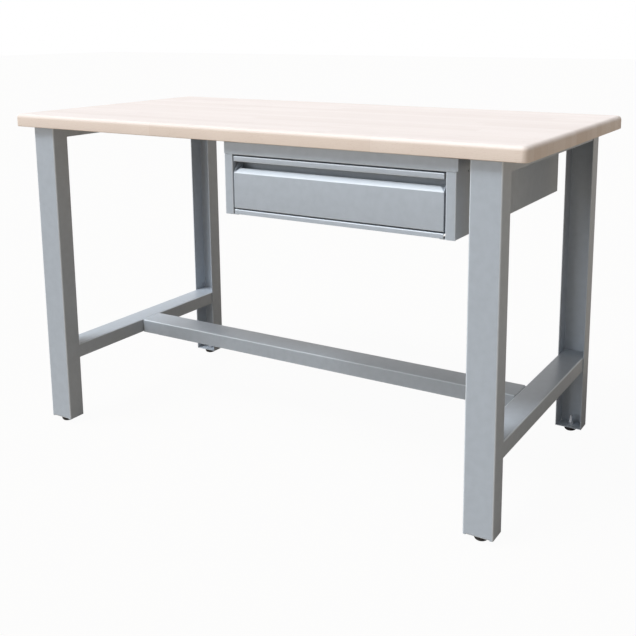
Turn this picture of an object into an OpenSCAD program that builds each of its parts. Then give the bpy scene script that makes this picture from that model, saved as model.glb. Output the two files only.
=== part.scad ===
// Workbench with one hanging drawer: laminated beech top on two folded-sheet side frames,
// a centre stretcher, four levelling feet and a drawer on full-extension ball slides.
// +X is to the right, +Y to the back, +Z up. The origin is on the floor, under the
// middle of the worktop. Left is -X and front is -Y.

/* [Bench] */
// Length of the worktop, left to right
bench_l = 1500; // [1400:10:1900]
// Depth of the worktop, front to back
bench_d = 750; // [740:5:850]
// Height of the working surface above the floor
bench_h = 905; // [850:5:950]

/* [Worktop] */
// Thickness of the laminated beech top
top_t = 35; // [27:1:50]
// Radius of the upright corners of the top
top_corner_r = 15; // [10:1:30]
// Radius of the top's upper edges
top_edge_r = 11; // [6:0.5:14]
// Radius of the top's lower edges
top_under_r = 2; // [1:0.5:4]

/* [Side frames] */
// Overhang of the worktop past the legs at each end
end_overhang = 57; // [30:1:90]
// Overhang of the worktop past the legs at front and back
front_overhang = 15; // [5:1:20]
// Width of a leg channel, left to right
leg_w = 74; // [65:1:90]
// Depth of a leg channel, front to back
leg_d = 50; // [44:1:65]
// Sheet thickness of the legs
leg_sheet = 2.5; // [2:0.25:3]
// Gap between a leg's foot plate and its flanges
plate_gap = 1.2; // [0.5:0.1:2]
// Radius of the bend relief at the foot plate's corners
relief_r = 3; // [2:0.5:4]
// Height of the lower rails' underside above the floor
rail_z = 190; // [150:5:260]
// Height of the lower side rails and of the stretcher
rail_h = 40; // [34:1:50]
// Height of the upper side rails
upper_rail_h = 30; // [25:1:40]
// Sheet thickness of the rails
rail_sheet = 2; // [1.5:0.25:2.5]
// Inner bend radius of the frame's sheet
frame_bend_r = 1.5; // [1:0.25:2]

/* [Stretcher] */
// Width of the centre stretcher, front to back
stretcher_w = 80; // [70:2:110]
// Gap between a stretcher end and the side rail it is bolted to
stretcher_gap = 0.5; // [0.2:0.1:1]
// Distance between the two bolts of a stretcher end
stretcher_bolt_pitch = 40; // [34:1:44]

/* [Levelling feet] */
// Diameter of the plastic pad at its widest
pad_d = 35; // [28:1:40]
// Diameter of the pad where it stands on the floor
pad_foot_d = 22; // [16:1:26]
// Height of the pad
pad_h = 13.7; // [10:0.1:18]
// Diameter of the threaded stud
stud_d = 10; // [8:1:12]
// Length of stud that stands above the foot plate
stud_rise = 26; // [14:1:40]
// Depth of the stud in the pad
stud_seat = 9; // [6:0.5:9]
// Width across the flats of the foot nut
foot_nut_af = 17; // [15:1:21]
// Height of the foot nut
foot_nut_h = 8; // [6:0.5:10]

/* [Drawer housing] */
// Width of the housing, left to right
housing_w = 616; // [560:2:640]
// Depth of the housing, front to back
housing_d = 700; // [690:5:715]
// Height of the housing under the worktop
housing_h = 181; // [176:1:220]
// Gap between the housing and the right legs
housing_gap = 30; // [20:1:60]
// Sheet thickness of the housing
housing_sheet = 1.5; // [1:0.25:2]
// Inner bend radius of the housing's sheet
housing_bend_r = 1; // [0.5:0.25:1.5]
// Width of the upright front flange at each side of the drawer
stile_w = 24; // [22:1:30]
// Depth of the lip that turns back behind the front flange
stile_lip = 18; // [10:1:22]
// Height of the rail above the drawer
top_rail_h = 32.5; // [28:0.5:44]
// Depth of the top rail's upper and lower flanges
top_rail_lip = 14; // [10:1:18]
// Amount that the top rail stands past the housing's right side
top_rail_over = 4; // [1:0.5:6]
// Width of the flanges along the top and bottom of a housing side
side_flange = 36; // [34:1:44]
// Height of the front strip under the drawer
strip_h = 11.4; // [10:0.2:16]
// Width of the flanges of the housing back
back_flange = 15; // [10:1:20]
// Share of the housing's depth between its end and its end screws
housing_screw_share = 0.12; // [0.08:0.01:0.2]
// Diameter of the spare hole in each side
side_hole_d = 5; // [4:0.5:8]
// Distance of the spare hole behind the front
side_hole_y = 67; // [40:1:90]
// Distance of the spare hole below the worktop
side_hole_drop = 37; // [30:1:50]

/* [Drawer] */
// Gap between the drawer front and the housing at each side
front_gap_x = 4; // [3:0.5:7]
// Gap above and below the drawer front
front_gap_z = 3.6; // [2:0.2:5]
// Sheet thickness of the drawer
drawer_sheet = 1.2; // [0.8:0.1:1.5]
// Inner bend radius of the drawer's sheet
drawer_bend_r = 1; // [0.5:0.25:1.5]
// Height of the lip along the top of the drawer front
lip_h = 13; // [10:0.5:16]
// Depth of the return under the lip
lip_return = 12; // [8:0.5:14]
// Height of the finger slot between the lip and the face's upper edge
grip_gap = 16; // [14:0.5:22]
// Depth of the finger slot behind the drawer front
grip_depth = 40; // [36:1:46]
// Height and depth of the sloping upper edge of the face
bevel = 12; // [8:0.5:14]
// Length of the hem behind the sloping edge
bevel_hem = 6; // [4:0.5:8]
// Width of the turned-down corners of the sloping edge
corner_w = 15; // [10:1:20]
// Height of those corners at the slot's wall, above the sloping edge
corner_rise = 3; // [1:0.5:5]
// Distance of the end caps' upper ends behind the drawer front
cap_set = 31; // [24:1:36]
// Height of the drawer sides
tray_h = 90; // [70:2:92]
// Width of the hems along the drawer sides
tray_hem = 8; // [6:1:10]
// Width of the flanges of the drawer back
tray_back_flange = 12; // [8:1:16]
// Clearance between the drawer front's lower edge and the drawer's floor
tray_lift = 2.5; // [2:0.5:5]

/* [Drawer slides] */
// Length of the slides and of the drawer's tray
slide_l = 600; // [560:5:620]
// Thickness of a slide, from drawer side to runner
slide_t = 12.7; // [12.7:0.1:13.5]
// Height of a slide's outer member
slide_h = 45; // [43:1:50]
// Sheet thickness of the slide members
slide_sheet = 1.2; // [1:0.1:1.3]
// Diameter of the slide balls
ball_d = 3.2; // [3:0.1:3.3]
// Length of a ball cage
cage_l = 280; // [240:10:280]
// Sheet thickness of a ball cage
cage_sheet = 0.4; // [0.3:0.05:0.5]
// Number of balls in one row of a cage
cage_balls = 8; // [4:1:10]
// Height of the slides' middle above the drawer's floor
slide_rise = 40; // [36:1:50]
// Space between the drawer's sides and the housing's sides
side_room = 36.5; // [32:0.5:40]
// Distance between the drawer's front wall and the slides
slide_set = 2; // [1:0.5:4]
// Amount that a slide's flanges stand past its balls
race_over = 1; // [0.6:0.1:1.2]
// Length that the runner channel stands past the slide at each end
runner_over = 12; // [5:1:16]
// Share of a slide's length between its end and its end screws
slide_screw_share = 0.06; // [0.03:0.01:0.1]

/* [Fasteners] */
// Diameter of the bolts that hold the stretcher
bolt_d = 8; // [6:1:8]
// Width across the flats of the stretcher bolts and nuts
bolt_af = 13; // [10:1:13]
// Height of a stretcher bolt's head
bolt_head_h = 5.3; // [4:0.1:6]
// Height of a stretcher nut
bolt_nut_h = 6.5; // [5:0.5:8]
// Length of bolt that stands past its nut
bolt_past = 3; // [1:0.5:5]
// Diameter of the wood screws that hold the worktop
screw_d = 5; // [4:0.5:6]
// Diameter of a wood screw's head
screw_head_d = 11; // [9:0.5:12]
// Height of a wood screw's head
screw_head_h = 3; // [2:0.5:4]
// Length of a wood screw in the worktop
screw_grip = 22; // [15:1:24]
// Distance from an upper rail's end to its end screws
screw_inset = 110; // [80:5:160]
// Diameter of the screws that hold the slides
slide_screw_d = 4; // [3:0.5:5]
// Diameter of the slide screws' heads
slide_screw_head_d = 8; // [6:0.5:9]
// Height of the slide screws' heads
slide_screw_head_h = 0.9; // [0.6:0.1:0.9]
// Length of an outer slide screw behind the runner
slide_screw_past = 4; // [3:0.5:6]
// Length of an inner slide screw inside the drawer
inner_screw_past = 0.8; // [0.2:0.2:1.2]

/* [Clearances] */
// Gap between pieces that are nested or seated on each other
seat = 0.1; // [0.05:0.05:0.2]
// Gap between pieces that move past each other face to face
face_gap = 0.3; // [0.2:0.05:0.5]
// Radial clearance of a stud that turns in its hole
run_fit = 0.05; // [0.02:0.01:0.1]
// Clearance of a slide ball on each side
ball_fit = 0.05; // [0.02:0.01:0.1]
// Gap between a ball cage and the slide members
cage_gap = 0.2; // [0.1:0.05:0.25]
// Radial clearance of a bolt or screw in its hole
bolt_clear = 0.3; // [0.2:0.05:0.5]

/* [Hidden] */

paint = [0.66, 0.69, 0.73];
beech = [0.93, 0.84, 0.74];
zinc = [0.75, 0.76, 0.78];
black = [0.05, 0.05, 0.055];
arc_fn = 96;
bend_steps = 6;
eps = 0.02;

top_z = bench_h - top_t;
leg_x = bench_l / 2 - end_overhang;
leg_y = bench_d / 2 - front_overhang;
leg_z = pad_h + face_gap;
leg_mid_x = leg_x - leg_w / 2;
leg_mid_y = leg_y - leg_d / 2;
plate_z = leg_z + leg_sheet;
bend_h = leg_sheet + frame_bend_r;
fold_half = leg_w / 2 - leg_sheet - 2 * relief_r;
stud_r = stud_d / 2;

rail_w = leg_w - 2 * leg_sheet - 2 * seat;
rail_end_y = leg_y - leg_sheet - frame_bend_r - seat;
rail_in_x = leg_mid_x - rail_w / 2;
stretcher_x = rail_in_x - stretcher_gap;
stretcher_bolt_z = rail_z + rail_h / 2;
screw_y = rail_end_y - screw_inset;

housing_x = leg_x - leg_w - housing_gap - housing_w / 2;
housing_y0 = -leg_y;
housing_y1 = housing_y0 + housing_d;
housing_z = top_z - housing_h;
open_w = housing_w - 2 * stile_w;
open_top = top_z - top_rail_h;
strip_z = housing_z + housing_sheet + seat;
floor_z = strip_z + strip_h;
side_in = housing_w / 2 - housing_sheet;
housing_screw_x = side_in - side_flange / 2;
housing_screw_ks = [housing_screw_share, 0.5, 1 - housing_screw_share];

front_w = open_w - 2 * front_gap_x;
front_z0 = floor_z + front_gap_z;
front_z1 = open_top - front_gap_z;
lip_z = front_z1 - lip_h;
crest_z = lip_z - grip_gap;
face_top = crest_z - bevel;
face_y = housing_y0;
wall_y = face_y + grip_depth;
corner_pitch = atan2(bevel + corner_rise, grip_depth);
corner_drop = bevel * (cos(corner_pitch) - sin(corner_pitch));
corner_l = norm([grip_depth, bevel + corner_rise]);
wall_back = wall_y + drawer_sheet;
tray_z = front_z0 + tray_lift;
tray_w = 2 * (side_in - side_room);
tray_y0 = wall_back + seat;
tray_y1 = tray_y0 + slide_l;

slide_x = tray_w / 2 + seat;
slide_z = tray_z + slide_rise;
slide_y0 = tray_y0 + slide_set;
slide_y1 = slide_y0 + slide_l;
slide_screw_ks = [slide_screw_share, 0.5, 1 - slide_screw_share];
race = ball_d + 2 * ball_fit;
outer_in = slide_h / 2 - slide_sheet;
middle_out = outer_in - race;
middle_in = middle_out - slide_sheet;
inner_out = middle_in - race;
cage_y0 = slide_y0 + (slide_l - cage_l) / 2;

// Depths in a slide, measured outwards from the drawer's side: a member's web ends at its
// web depth, its flanges at its tip depth, and a row of balls has its centres at its ball depth
cage_room = cage_sheet + 2 * cage_gap;
outer_screw_x = slide_t - slide_sheet - seat;
middle_web = outer_screw_x - slide_screw_head_h - cage_room;
inner_web = middle_web - slide_sheet - cage_room;
outer_ball = middle_web - race_over - ball_d / 2;
inner_ball = inner_web - race_over - ball_d / 2;
outer_tip = outer_ball - ball_d / 2 - race_over;
middle_tip = inner_ball - ball_d / 2 - race_over;

// ---- Sheet metal ----

function unit(a, b) = (b - a) / norm(b - a);
function left_of(v) = [-v[1], v[0]];
function turn(u, v) = atan2(u[0] * v[1] - u[1] * v[0], u * v);

// Arc of a bend at corner p between directions u and v, on the path's own face (far = 0)
// or on the sheet's other face (far = 1). The sheet lies to the left of the path.
function bend_arc(p, u, v, t, r, far) =
    let (
        a = turn(u, v),
        s = sign(a),
        near_r = a > 0 ? r + t : r,
        far_r = a > 0 ? r : r + t,
        c = p - u * near_r * tan(abs(a) / 2) + left_of(u) * s * near_r,
        rr = far == 0 ? near_r : far_r,
        a0 = atan2(-s * left_of(u)[1], -s * left_of(u)[0])
    )
    [for (k = [0:bend_steps]) c + rr * [cos(a0 + a * k / bend_steps), sin(a0 + a * k / bend_steps)]];

// One face of a folded sheet, with an arc in place of each inner corner of the path
function sheet_face(path, t, r, far) =
    let (n = len(path))
    concat(
        [path[0] + left_of(unit(path[0], path[1])) * t * far],
        [for (i = [1:1:n - 2])
            each bend_arc(path[i], unit(path[i - 1], path[i]), unit(path[i], path[i + 1]), t, r, far)],
        [path[n - 1] + left_of(unit(path[n - 2], path[n - 1])) * t * far]
    );

// Cross-section of a sheet of thickness t that is folded along a path with inner radius r
module folded(path, t, r) {
    near = sheet_face(path, t, r, 0);
    far = sheet_face(path, t, r, 1);
    polygon(concat(near, [for (i = [len(far) - 1:-1:0]) far[i]]));
}

// A channel w wide and d deep with its web on the X axis and its flanges towards +Y
module channel(w, d, t, r)
    folded([[-w / 2, d], [-w / 2, 0], [w / 2, 0], [w / 2, d]], t, r);

// A cross-section in Y and Z, drawn out along X
module along_x(x0, x1)
    translate([x0, 0, 0]) rotate([90, 0, 90]) linear_extrude(x1 - x0) children();

// A cross-section in X and Z, drawn out along Y
module along_y(y0, y1)
    translate([0, y1, 0]) rotate([90, 0, 0]) linear_extrude(y1 - y0) children();

module block(p0, p1) translate(p0) cube(p1 - p0);

// A round bar from one end to the other along X or Z
module rod_z(r, z0, z1) translate([0, 0, z0]) cylinder(r = r, h = z1 - z0, $fn = arc_fn);
module rod_x(r, x0, x1) translate([x0, 0, 0]) rotate([0, 90, 0]) cylinder(r = r, h = x1 - x0, $fn = arc_fn);

// A hexagon of the given width across its flats
module hex_z(af, z0, z1) translate([0, 0, z0]) cylinder(r = af / 2 / cos(30), h = z1 - z0, $fn = 6);

module on_left() mirror([1, 0, 0]) children();
module on_rear() mirror([0, 1, 0]) children();
module at_housing() translate([housing_x, 0, 0]) children();

// Mirrors a piece on the drawer's right to the drawer's left
module left_of_drawer() at_housing() on_left() translate([-housing_x, 0, 0]) children();

// ---- Worktop ----

module round_rect(w, h, r) {
    square([w - 2 * r, h], center = true);
    square([w, h - 2 * r], center = true);
    for (x = [-1, 1], y = [-1, 1])
        translate([x * (w / 2 - r), y * (h / 2 - r)]) circle(r = r, $fn = arc_fn);
}

// Upright section of the top, w wide
module top_section(w) intersection() {
    translate([0, top_z]) round_rect(w, 2 * top_t, top_edge_r);
    translate([0, bench_h]) round_rect(w, 2 * top_t, top_under_r);
}

module worktop_blank() intersection() {
    translate([0, 0, top_z]) linear_extrude(top_t) round_rect(bench_l, bench_d, top_corner_r);
    along_x(-bench_l / 2, bench_l / 2) top_section(bench_d);
    along_y(-bench_d / 2, bench_d / 2) top_section(bench_l);
}

module at_worktop_screws()
    for (x = [-1, 1], y = [-1, 0, 1]) translate([x * leg_mid_x, y * screw_y, 0]) children();

module at_housing_screws()
    at_housing() for (x = [-1, 1], k = housing_screw_ks)
        translate([x * housing_screw_x, housing_y0 + k * housing_d, 0]) children();

module pilot() rod_z(screw_d / 2 + seat, top_z - eps, top_z + screw_grip + 1);

module worktop() color(beech) difference() {
    worktop_blank();
    at_worktop_screws() pilot();
    at_housing_screws() pilot();
}

// A pan-head wood screw whose head bears on the underside of a sheet t thick
module wood_screw(t) {
    head_z = top_z - t - seat;
    rod_z(screw_d / 2, head_z - eps, top_z + screw_grip);
    rod_z(screw_head_d / 2, head_z - screw_head_h, head_z);
}

module worktop_screws() color(zinc) at_worktop_screws() wood_screw(rail_sheet);

// ---- Side frames ----

// A leg's foot plate: folded in from the web between two bend reliefs, and wider behind them
module foot_plate() {
    wide = leg_w / 2 - leg_sheet - plate_gap;
    back = -leg_y + leg_d - plate_gap;
    translate([leg_mid_x, 0, 0]) {
        along_x(-fold_half, fold_half)
            folded([[-leg_y, leg_z + bend_h], [-leg_y, leg_z], [back, leg_z]], leg_sheet, frame_bend_r);
        block([-wide, -leg_y + leg_sheet + relief_r, leg_z], [wide, back, plate_z]);
    }
}

// The front right leg; the others are its mirror images
module leg() color(paint) difference() {
    union() {
        difference() {
            translate([leg_mid_x, -leg_y, leg_z])
                linear_extrude(top_z - leg_z) channel(leg_w, leg_d, leg_sheet, frame_bend_r);
            translate([leg_mid_x, -leg_y, leg_z])
                block([-fold_half, -1, -1], [fold_half, leg_sheet + 1, bend_h]);
        }
        foot_plate();
    }
    translate([leg_mid_x, -leg_mid_y, 0]) rod_z(stud_r + run_fit, leg_z - 1, plate_z + 1);
    for (x = [-1, 1])
        translate([leg_mid_x + x * (leg_w / 2 - leg_sheet - relief_r), -leg_y + leg_sheet + relief_r, 0])
            rod_z(relief_r, leg_z - 1, plate_z + 1);
}

module leg_front_left() on_left() leg();
module leg_front_right() leg();
module leg_rear_left() on_left() on_rear() leg();
module leg_rear_right() on_rear() leg();

// Cross-section of a downward-open channel with its top at height z
module rail_section(w, h, z) translate([0, z]) mirror([0, 1]) channel(w, h, rail_sheet, frame_bend_r);

module at_stretcher_bolts()
    for (y = [-1, 1]) translate([0, y * stretcher_bolt_pitch / 2, stretcher_bolt_z]) children();

module lower_rail() color(paint) difference() {
    translate([leg_mid_x, 0, 0])
        along_y(-rail_end_y, rail_end_y) rail_section(rail_w, rail_h, rail_z + rail_h);
    at_stretcher_bolts() rod_x(bolt_d / 2 + bolt_clear, rail_in_x - 1, rail_in_x + rail_sheet + 1);
}

module lower_rail_left() on_left() lower_rail();
module lower_rail_right() lower_rail();

module upper_rail() color(paint) difference() {
    translate([leg_mid_x, 0, 0])
        along_y(-rail_end_y, rail_end_y) rail_section(rail_w, upper_rail_h, top_z);
    for (y = [-1, 0, 1])
        translate([leg_mid_x, y * screw_y, 0])
            rod_z(screw_d / 2 + bolt_clear, top_z - rail_sheet - 1, top_z + 1);
}

module upper_rail_left() on_left() upper_rail();
module upper_rail_right() upper_rail();

// The stretcher's right end: its top sheet is folded down to a bolted end plate
module stretcher_end() {
    half = stretcher_w / 2 - rail_sheet - frame_bend_r - seat;
    fold = 4 * rail_sheet;
    along_y(-half, half)
        folded([[stretcher_x, rail_z + rail_sheet], [stretcher_x, rail_z + rail_h],
                [stretcher_x - fold, rail_z + rail_h]], rail_sheet, frame_bend_r);
}

module stretcher() color(paint) difference() {
    union() {
        along_x(-stretcher_x + rail_sheet + frame_bend_r, stretcher_x - rail_sheet - frame_bend_r)
            rail_section(stretcher_w, rail_h, rail_z + rail_h);
        stretcher_end();
        on_left() stretcher_end();
    }
    at_stretcher_bolts() rod_x(bolt_d / 2 + bolt_clear, -stretcher_x - 1, stretcher_x + 1);
}

module stretcher_bolt() {
    head_x = rail_in_x + rail_sheet + seat;
    rod_x(bolt_d / 2, stretcher_x - rail_sheet - seat - bolt_nut_h - bolt_past, head_x + eps);
    translate([head_x, 0, 0]) rotate([0, 90, 0]) hex_z(bolt_af, 0, bolt_head_h);
}

module stretcher_nut() {
    nut_x = stretcher_x - rail_sheet - seat;
    difference() {
        translate([nut_x - bolt_nut_h, 0, 0]) rotate([0, 90, 0]) hex_z(bolt_af, 0, bolt_nut_h);
        rod_x(bolt_d / 2 + run_fit, nut_x - bolt_nut_h - 1, nut_x + 1);
    }
}

module stretcher_bolts() color(zinc) {
    at_stretcher_bolts() stretcher_bolt();
    on_left() at_stretcher_bolts() stretcher_bolt();
}

module stretcher_nuts() color(zinc) {
    at_stretcher_bolts() stretcher_nut();
    on_left() at_stretcher_bolts() stretcher_nut();
}

// ---- Levelling feet ----

module at_foot(x, y) translate([x * leg_mid_x, y * leg_mid_y, 0]) children();

// Half outline of the pad: a narrow flat foot, a round flank and a small upper chamfer
function pad_outline() =
    let (
        r0 = pad_foot_d / 2,
        r1 = pad_d / 2,
        flank_h = 0.6 * pad_h,
        chamfer = 1
    )
    concat(
        [[0, 0]],
        [for (a = [0:10:90]) [r0 + (r1 - r0) * sin(a), flank_h * (1 - cos(a))]],
        [[r1, pad_h - chamfer], [r1 - chamfer, pad_h], [0, pad_h]]
    );

module pad(x, y) color(black) at_foot(x, y) difference() {
    rotate_extrude($fn = arc_fn) polygon(pad_outline());
    rod_z(stud_r + seat / 2, pad_h - stud_seat - seat, pad_h + 1);
}

module stud(x, y) color(zinc) at_foot(x, y) rod_z(stud_r, pad_h - stud_seat, plate_z + stud_rise);

module foot_nuts() color(zinc)
    for (x = [-1, 1], y = [-1, 1]) at_foot(x, y) difference() {
        hex_z(foot_nut_af, plate_z + seat, plate_z + seat + foot_nut_h);
        rod_z(stud_r + run_fit, plate_z - 1, plate_z + foot_nut_h + 2);
    }

// ---- Drawer housing ----

// The right side: a channel open towards the drawer, with the front flange and its lip
module housing_side() color(paint) at_housing() difference() {
    union() {
        along_y(housing_y0 + housing_sheet + seat, housing_y1)
            folded([[side_in - side_flange, housing_z], [housing_w / 2, housing_z],
                    [housing_w / 2, top_z], [side_in - side_flange, top_z]],
                   housing_sheet, housing_bend_r);
        translate([0, 0, housing_z]) linear_extrude(open_top - seat - housing_z)
            folded([[open_w / 2, housing_y0 + stile_lip], [open_w / 2, housing_y0],
                    [housing_w / 2, housing_y0], [housing_w / 2, housing_y0 + 2 * stile_lip]],
                   housing_sheet, housing_bend_r);
    }
    for (k = housing_screw_ks)
        translate([housing_screw_x, housing_y0 + k * housing_d, 0])
            rod_z(screw_d / 2 + bolt_clear, top_z - housing_sheet - 1, top_z + 1);
    translate([0, housing_y0 + side_hole_y, top_z - side_hole_drop])
        rod_x(side_hole_d / 2, side_in - 1, housing_w / 2 + 1);
}

module housing_side_left() left_of_drawer() housing_side();
module housing_side_right() housing_side();

// The rail above the drawer: its flanges are cut back where they meet the housing's sides
module housing_top_rail() color(paint) at_housing() {
    half = housing_w / 2;
    end = half + top_rail_over;
    back = housing_y0 + housing_sheet;
    lip_y = housing_y0 + top_rail_lip;
    cut_end = [end + 1, lip_y + 1, top_z + 1];
    difference() {
        along_x(-half, end)
            folded([[lip_y, top_z], [housing_y0, top_z], [housing_y0, open_top], [lip_y, open_top]],
                   housing_sheet, housing_bend_r);
        for (side = [0, 1]) mirror([side, 0, 0]) {
            block([side_in - side_flange - seat, back, top_z - 2 * housing_sheet], cut_end);
            block([side_in - seat, back, open_top - 1], cut_end);
        }
    }
}

module housing_back() color(paint) at_housing() {
    half = side_in - seat;
    z0 = housing_z + housing_sheet + seat;
    translate([0, housing_y1, z0]) linear_extrude(top_z - housing_sheet - seat - z0)
        mirror([0, 1]) channel(2 * half, back_flange, housing_sheet, housing_bend_r);
}

module housing_bottom() color(paint) at_housing() {
    back = housing_y1 - housing_sheet - seat;
    along_x(-front_w / 2, front_w / 2)
        folded([[back, strip_z], [back, floor_z], [housing_y0, floor_z], [housing_y0, strip_z]],
               housing_sheet, housing_bend_r);
}

module housing_screws() color(zinc) at_housing_screws() wood_screw(housing_sheet);

// ---- Drawer slides ----

// The right slide's place, with x measured outwards from the drawer's side
module at_slide() at_housing() translate([slide_x, 0, slide_z]) children();

// Cross-section of a slide member: its web ends at depth web and its flanges at depth tip
module member(half_h, web, tip, t)
    folded([[tip, -half_h], [web, -half_h], [web, half_h], [tip, half_h]], t, t / 2);

module runner() color(zinc) at_slide() {
    x0 = slide_t + seat;
    x1 = side_in - slide_x - seat;
    half = slide_h / 2;
    difference() {
        along_y(slide_y0 - runner_over, slide_y1 + runner_over)
            folded([[x1, half], [x0, half], [x0, -half], [x1, -half]], housing_sheet, housing_bend_r);
        for (k = slide_screw_ks)
            translate([0, slide_y0 + k * slide_l, 0])
                rod_x(slide_screw_d / 2 + bolt_clear, x0 - 1, x0 + housing_sheet + 1);
    }
}

module runner_left() left_of_drawer() runner();
module runner_right() runner();

module outer_slide() color(zinc) at_slide() difference() {
    along_y(slide_y0, slide_y1) member(slide_h / 2, slide_t, outer_tip, slide_sheet);
    for (k = slide_screw_ks)
        translate([0, slide_y0 + k * slide_l, 0])
            rod_x(slide_screw_d / 2 + bolt_clear, outer_screw_x, slide_t + 1);
}

module outer_slide_left() left_of_drawer() outer_slide();
module outer_slide_right() outer_slide();

module outer_slide_screw() {
    rod_x(slide_screw_head_d / 2, outer_screw_x - slide_screw_head_h, outer_screw_x);
    rod_x(slide_screw_d / 2, outer_screw_x - eps, slide_t + housing_sheet + slide_screw_past);
}

module outer_slide_screw_row() at_slide()
    for (k = slide_screw_ks) translate([0, slide_y0 + k * slide_l, 0]) outer_slide_screw();

module outer_slide_screws() color(zinc) {
    outer_slide_screw_row();
    left_of_drawer() outer_slide_screw_row();
}

module middle_slide() color(zinc) at_slide()
    along_y(slide_y0, slide_y1) member(middle_out, middle_web, middle_tip, slide_sheet);

module middle_slide_left() left_of_drawer() middle_slide();
module middle_slide_right() middle_slide();

module inner_slide() color(zinc) at_slide() difference() {
    along_y(slide_y0, slide_y1) translate([inner_web, 0]) mirror([1, 0])
        member(inner_out, inner_web, 0, slide_sheet);
    for (k = slide_screw_ks)
        translate([0, slide_y0 + k * slide_l, 0])
            rod_x(slide_screw_d / 2 + bolt_clear, -1, slide_sheet + 1);
}

module inner_slide_left() left_of_drawer() inner_slide();
module inner_slide_right() inner_slide();

module inner_slide_screw() {
    x0 = slide_sheet + seat;
    rod_x(slide_screw_head_d / 2, x0, x0 + slide_screw_head_h);
    rod_x(slide_screw_d / 2, -seat - drawer_sheet - inner_screw_past, x0 + eps);
}

module inner_slide_screw_row() at_slide()
    for (k = slide_screw_ks) translate([0, slide_y0 + k * slide_l, 0]) inner_slide_screw();

module inner_slide_screws() color(zinc) {
    inner_slide_screw_row();
    left_of_drawer() inner_slide_screw_row();
}

// A cage is a thin channel that holds a row of balls above and a row below
module cage(row_z, ball_x, web) color(zinc) at_slide() {
    along_y(cage_y0, cage_y0 + cage_l) member(row_z + cage_sheet / 2, web, ball_x - ball_d / 2, cage_sheet);
    for (z = [-1, 1], k = [0.5:1:cage_balls - 0.5])
        translate([ball_x, cage_y0 + k * cage_l / cage_balls, z * row_z]) sphere(d = ball_d, $fn = 32);
}

module outer_cage() cage(outer_in - race / 2, outer_ball, middle_web + cage_gap + cage_sheet);
module inner_cage() cage(middle_in - race / 2, inner_ball, inner_web + cage_gap + cage_sheet);

module outer_cage_left() left_of_drawer() outer_cage();
module outer_cage_right() outer_cage();
module inner_cage_left() left_of_drawer() inner_cage();
module inner_cage_right() inner_cage();

// ---- Drawer ----

// Place of the right turned-down corner: its upper side is the XY plane, with -X inwards
module at_corner() translate([front_w / 2, face_y, face_top])
    rotate([corner_pitch, 0, 0]) rotate([0, atan2(corner_drop, corner_w), 0]) children();

// The space above the corner's upper side, lifted by the given gap
module over_corner(gap) at_corner()
    block([-3 * corner_w, -corner_w, gap], [corner_w, grip_depth + corner_w, grip_depth]);

// The corner joins the sloping edge to the drawer front's end and to the slot's wall, and
// its two joined edges lie half a sheet inside them
module corner() at_corner() translate([0, 0, -drawer_sheet]) linear_extrude(2 * drawer_sheet)
    polygon([[-drawer_sheet / 2, drawer_sheet], [-drawer_sheet / 2, corner_l - 2 * drawer_sheet],
             [drawer_sheet / 2 - norm([corner_w, corner_drop]),
              bevel * (cos(corner_pitch) + sin(corner_pitch))]]);

// The face: a flat panel with a sloping upper edge, a hem, a lower return and two ends
module face_blank() {
    hem = bevel_hem / sqrt(2);
    crest = [face_y + bevel, crest_z];
    in_y = face_y + drawer_sheet / 2;
    along_x(-front_w / 2 + drawer_sheet / 2, front_w / 2 - drawer_sheet / 2)
        folded([crest + [hem, -hem], crest, [face_y, face_top], [face_y, front_z0],
                [wall_back, front_z0]], drawer_sheet, drawer_bend_r);
    for (x = [-1, 1])
        translate([x * (front_w / 2 - drawer_sheet / 2), 0, 0])
            along_x(-drawer_sheet / 2, drawer_sheet / 2)
                polygon([[in_y, front_z0 + drawer_sheet / 2], [wall_back, front_z0 + drawer_sheet / 2],
                         [wall_back, crest_z + corner_rise], [crest[0], crest_z],
                         [in_y, face_top - drawer_sheet]]);
}

module drawer_face() color(paint) at_housing() difference() {
    union() {
        face_blank();
        corner();
        on_left() corner();
    }
    over_corner(0);
    on_left() over_corner(0);
}

// The inner front wall, folded forward over the finger slot to a lip
module drawer_grip() color(paint) at_housing() difference() {
    room = drawer_sheet + seat;
    along_x(-front_w / 2, front_w / 2)
        folded([[wall_back, front_z0 + drawer_sheet + seat], [wall_back, front_z1], [face_y, front_z1],
                [face_y, lip_z], [face_y + lip_return, lip_z]], drawer_sheet, drawer_bend_r);
    for (x = [-1, 1])
        translate([x * front_w / 2, 0, 0])
            block([-room, wall_y - 1, front_z0], [room, wall_back + 1, crest_z + corner_rise + seat]);
}

// Plate at the right end of the finger slot, with a leaning front edge, above the corner
module end_cap() intersection() {
    top = front_z1 - drawer_sheet - seat;
    along_x(front_w / 2 - drawer_sheet, front_w / 2)
        polygon([[face_y, face_top], [wall_y - seat, face_top], [wall_y - seat, top], [face_y + cap_set, top]]);
    over_corner(seat);
}

module drawer_end_caps() color(paint) at_housing() {
    end_cap();
    on_left() end_cap();
}

module drawer_tray() color(paint) at_housing() difference() {
    h = tray_w / 2;
    z1 = tray_z + tray_h;
    along_y(tray_y0, tray_y1)
        folded([[-h + tray_hem, z1], [-h, z1], [-h, tray_z], [h, tray_z], [h, z1], [h - tray_hem, z1]],
               drawer_sheet, drawer_bend_r);
    for (x = [-1, 1], k = slide_screw_ks)
        translate([x * h, slide_y0 + k * slide_l, slide_z]) rod_x(slide_screw_d / 2 + bolt_clear, -5, 5);
}

module drawer_back() color(paint) at_housing() {
    half = tray_w / 2 - drawer_sheet - seat;
    z0 = tray_z + drawer_sheet + seat;
    z1 = tray_z + tray_h - drawer_sheet - seat;
    translate([0, tray_y1, z0]) linear_extrude(z1 - z0) mirror([0, 1])
        channel(2 * half, tray_back_flange, drawer_sheet, drawer_bend_r);
}

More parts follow.
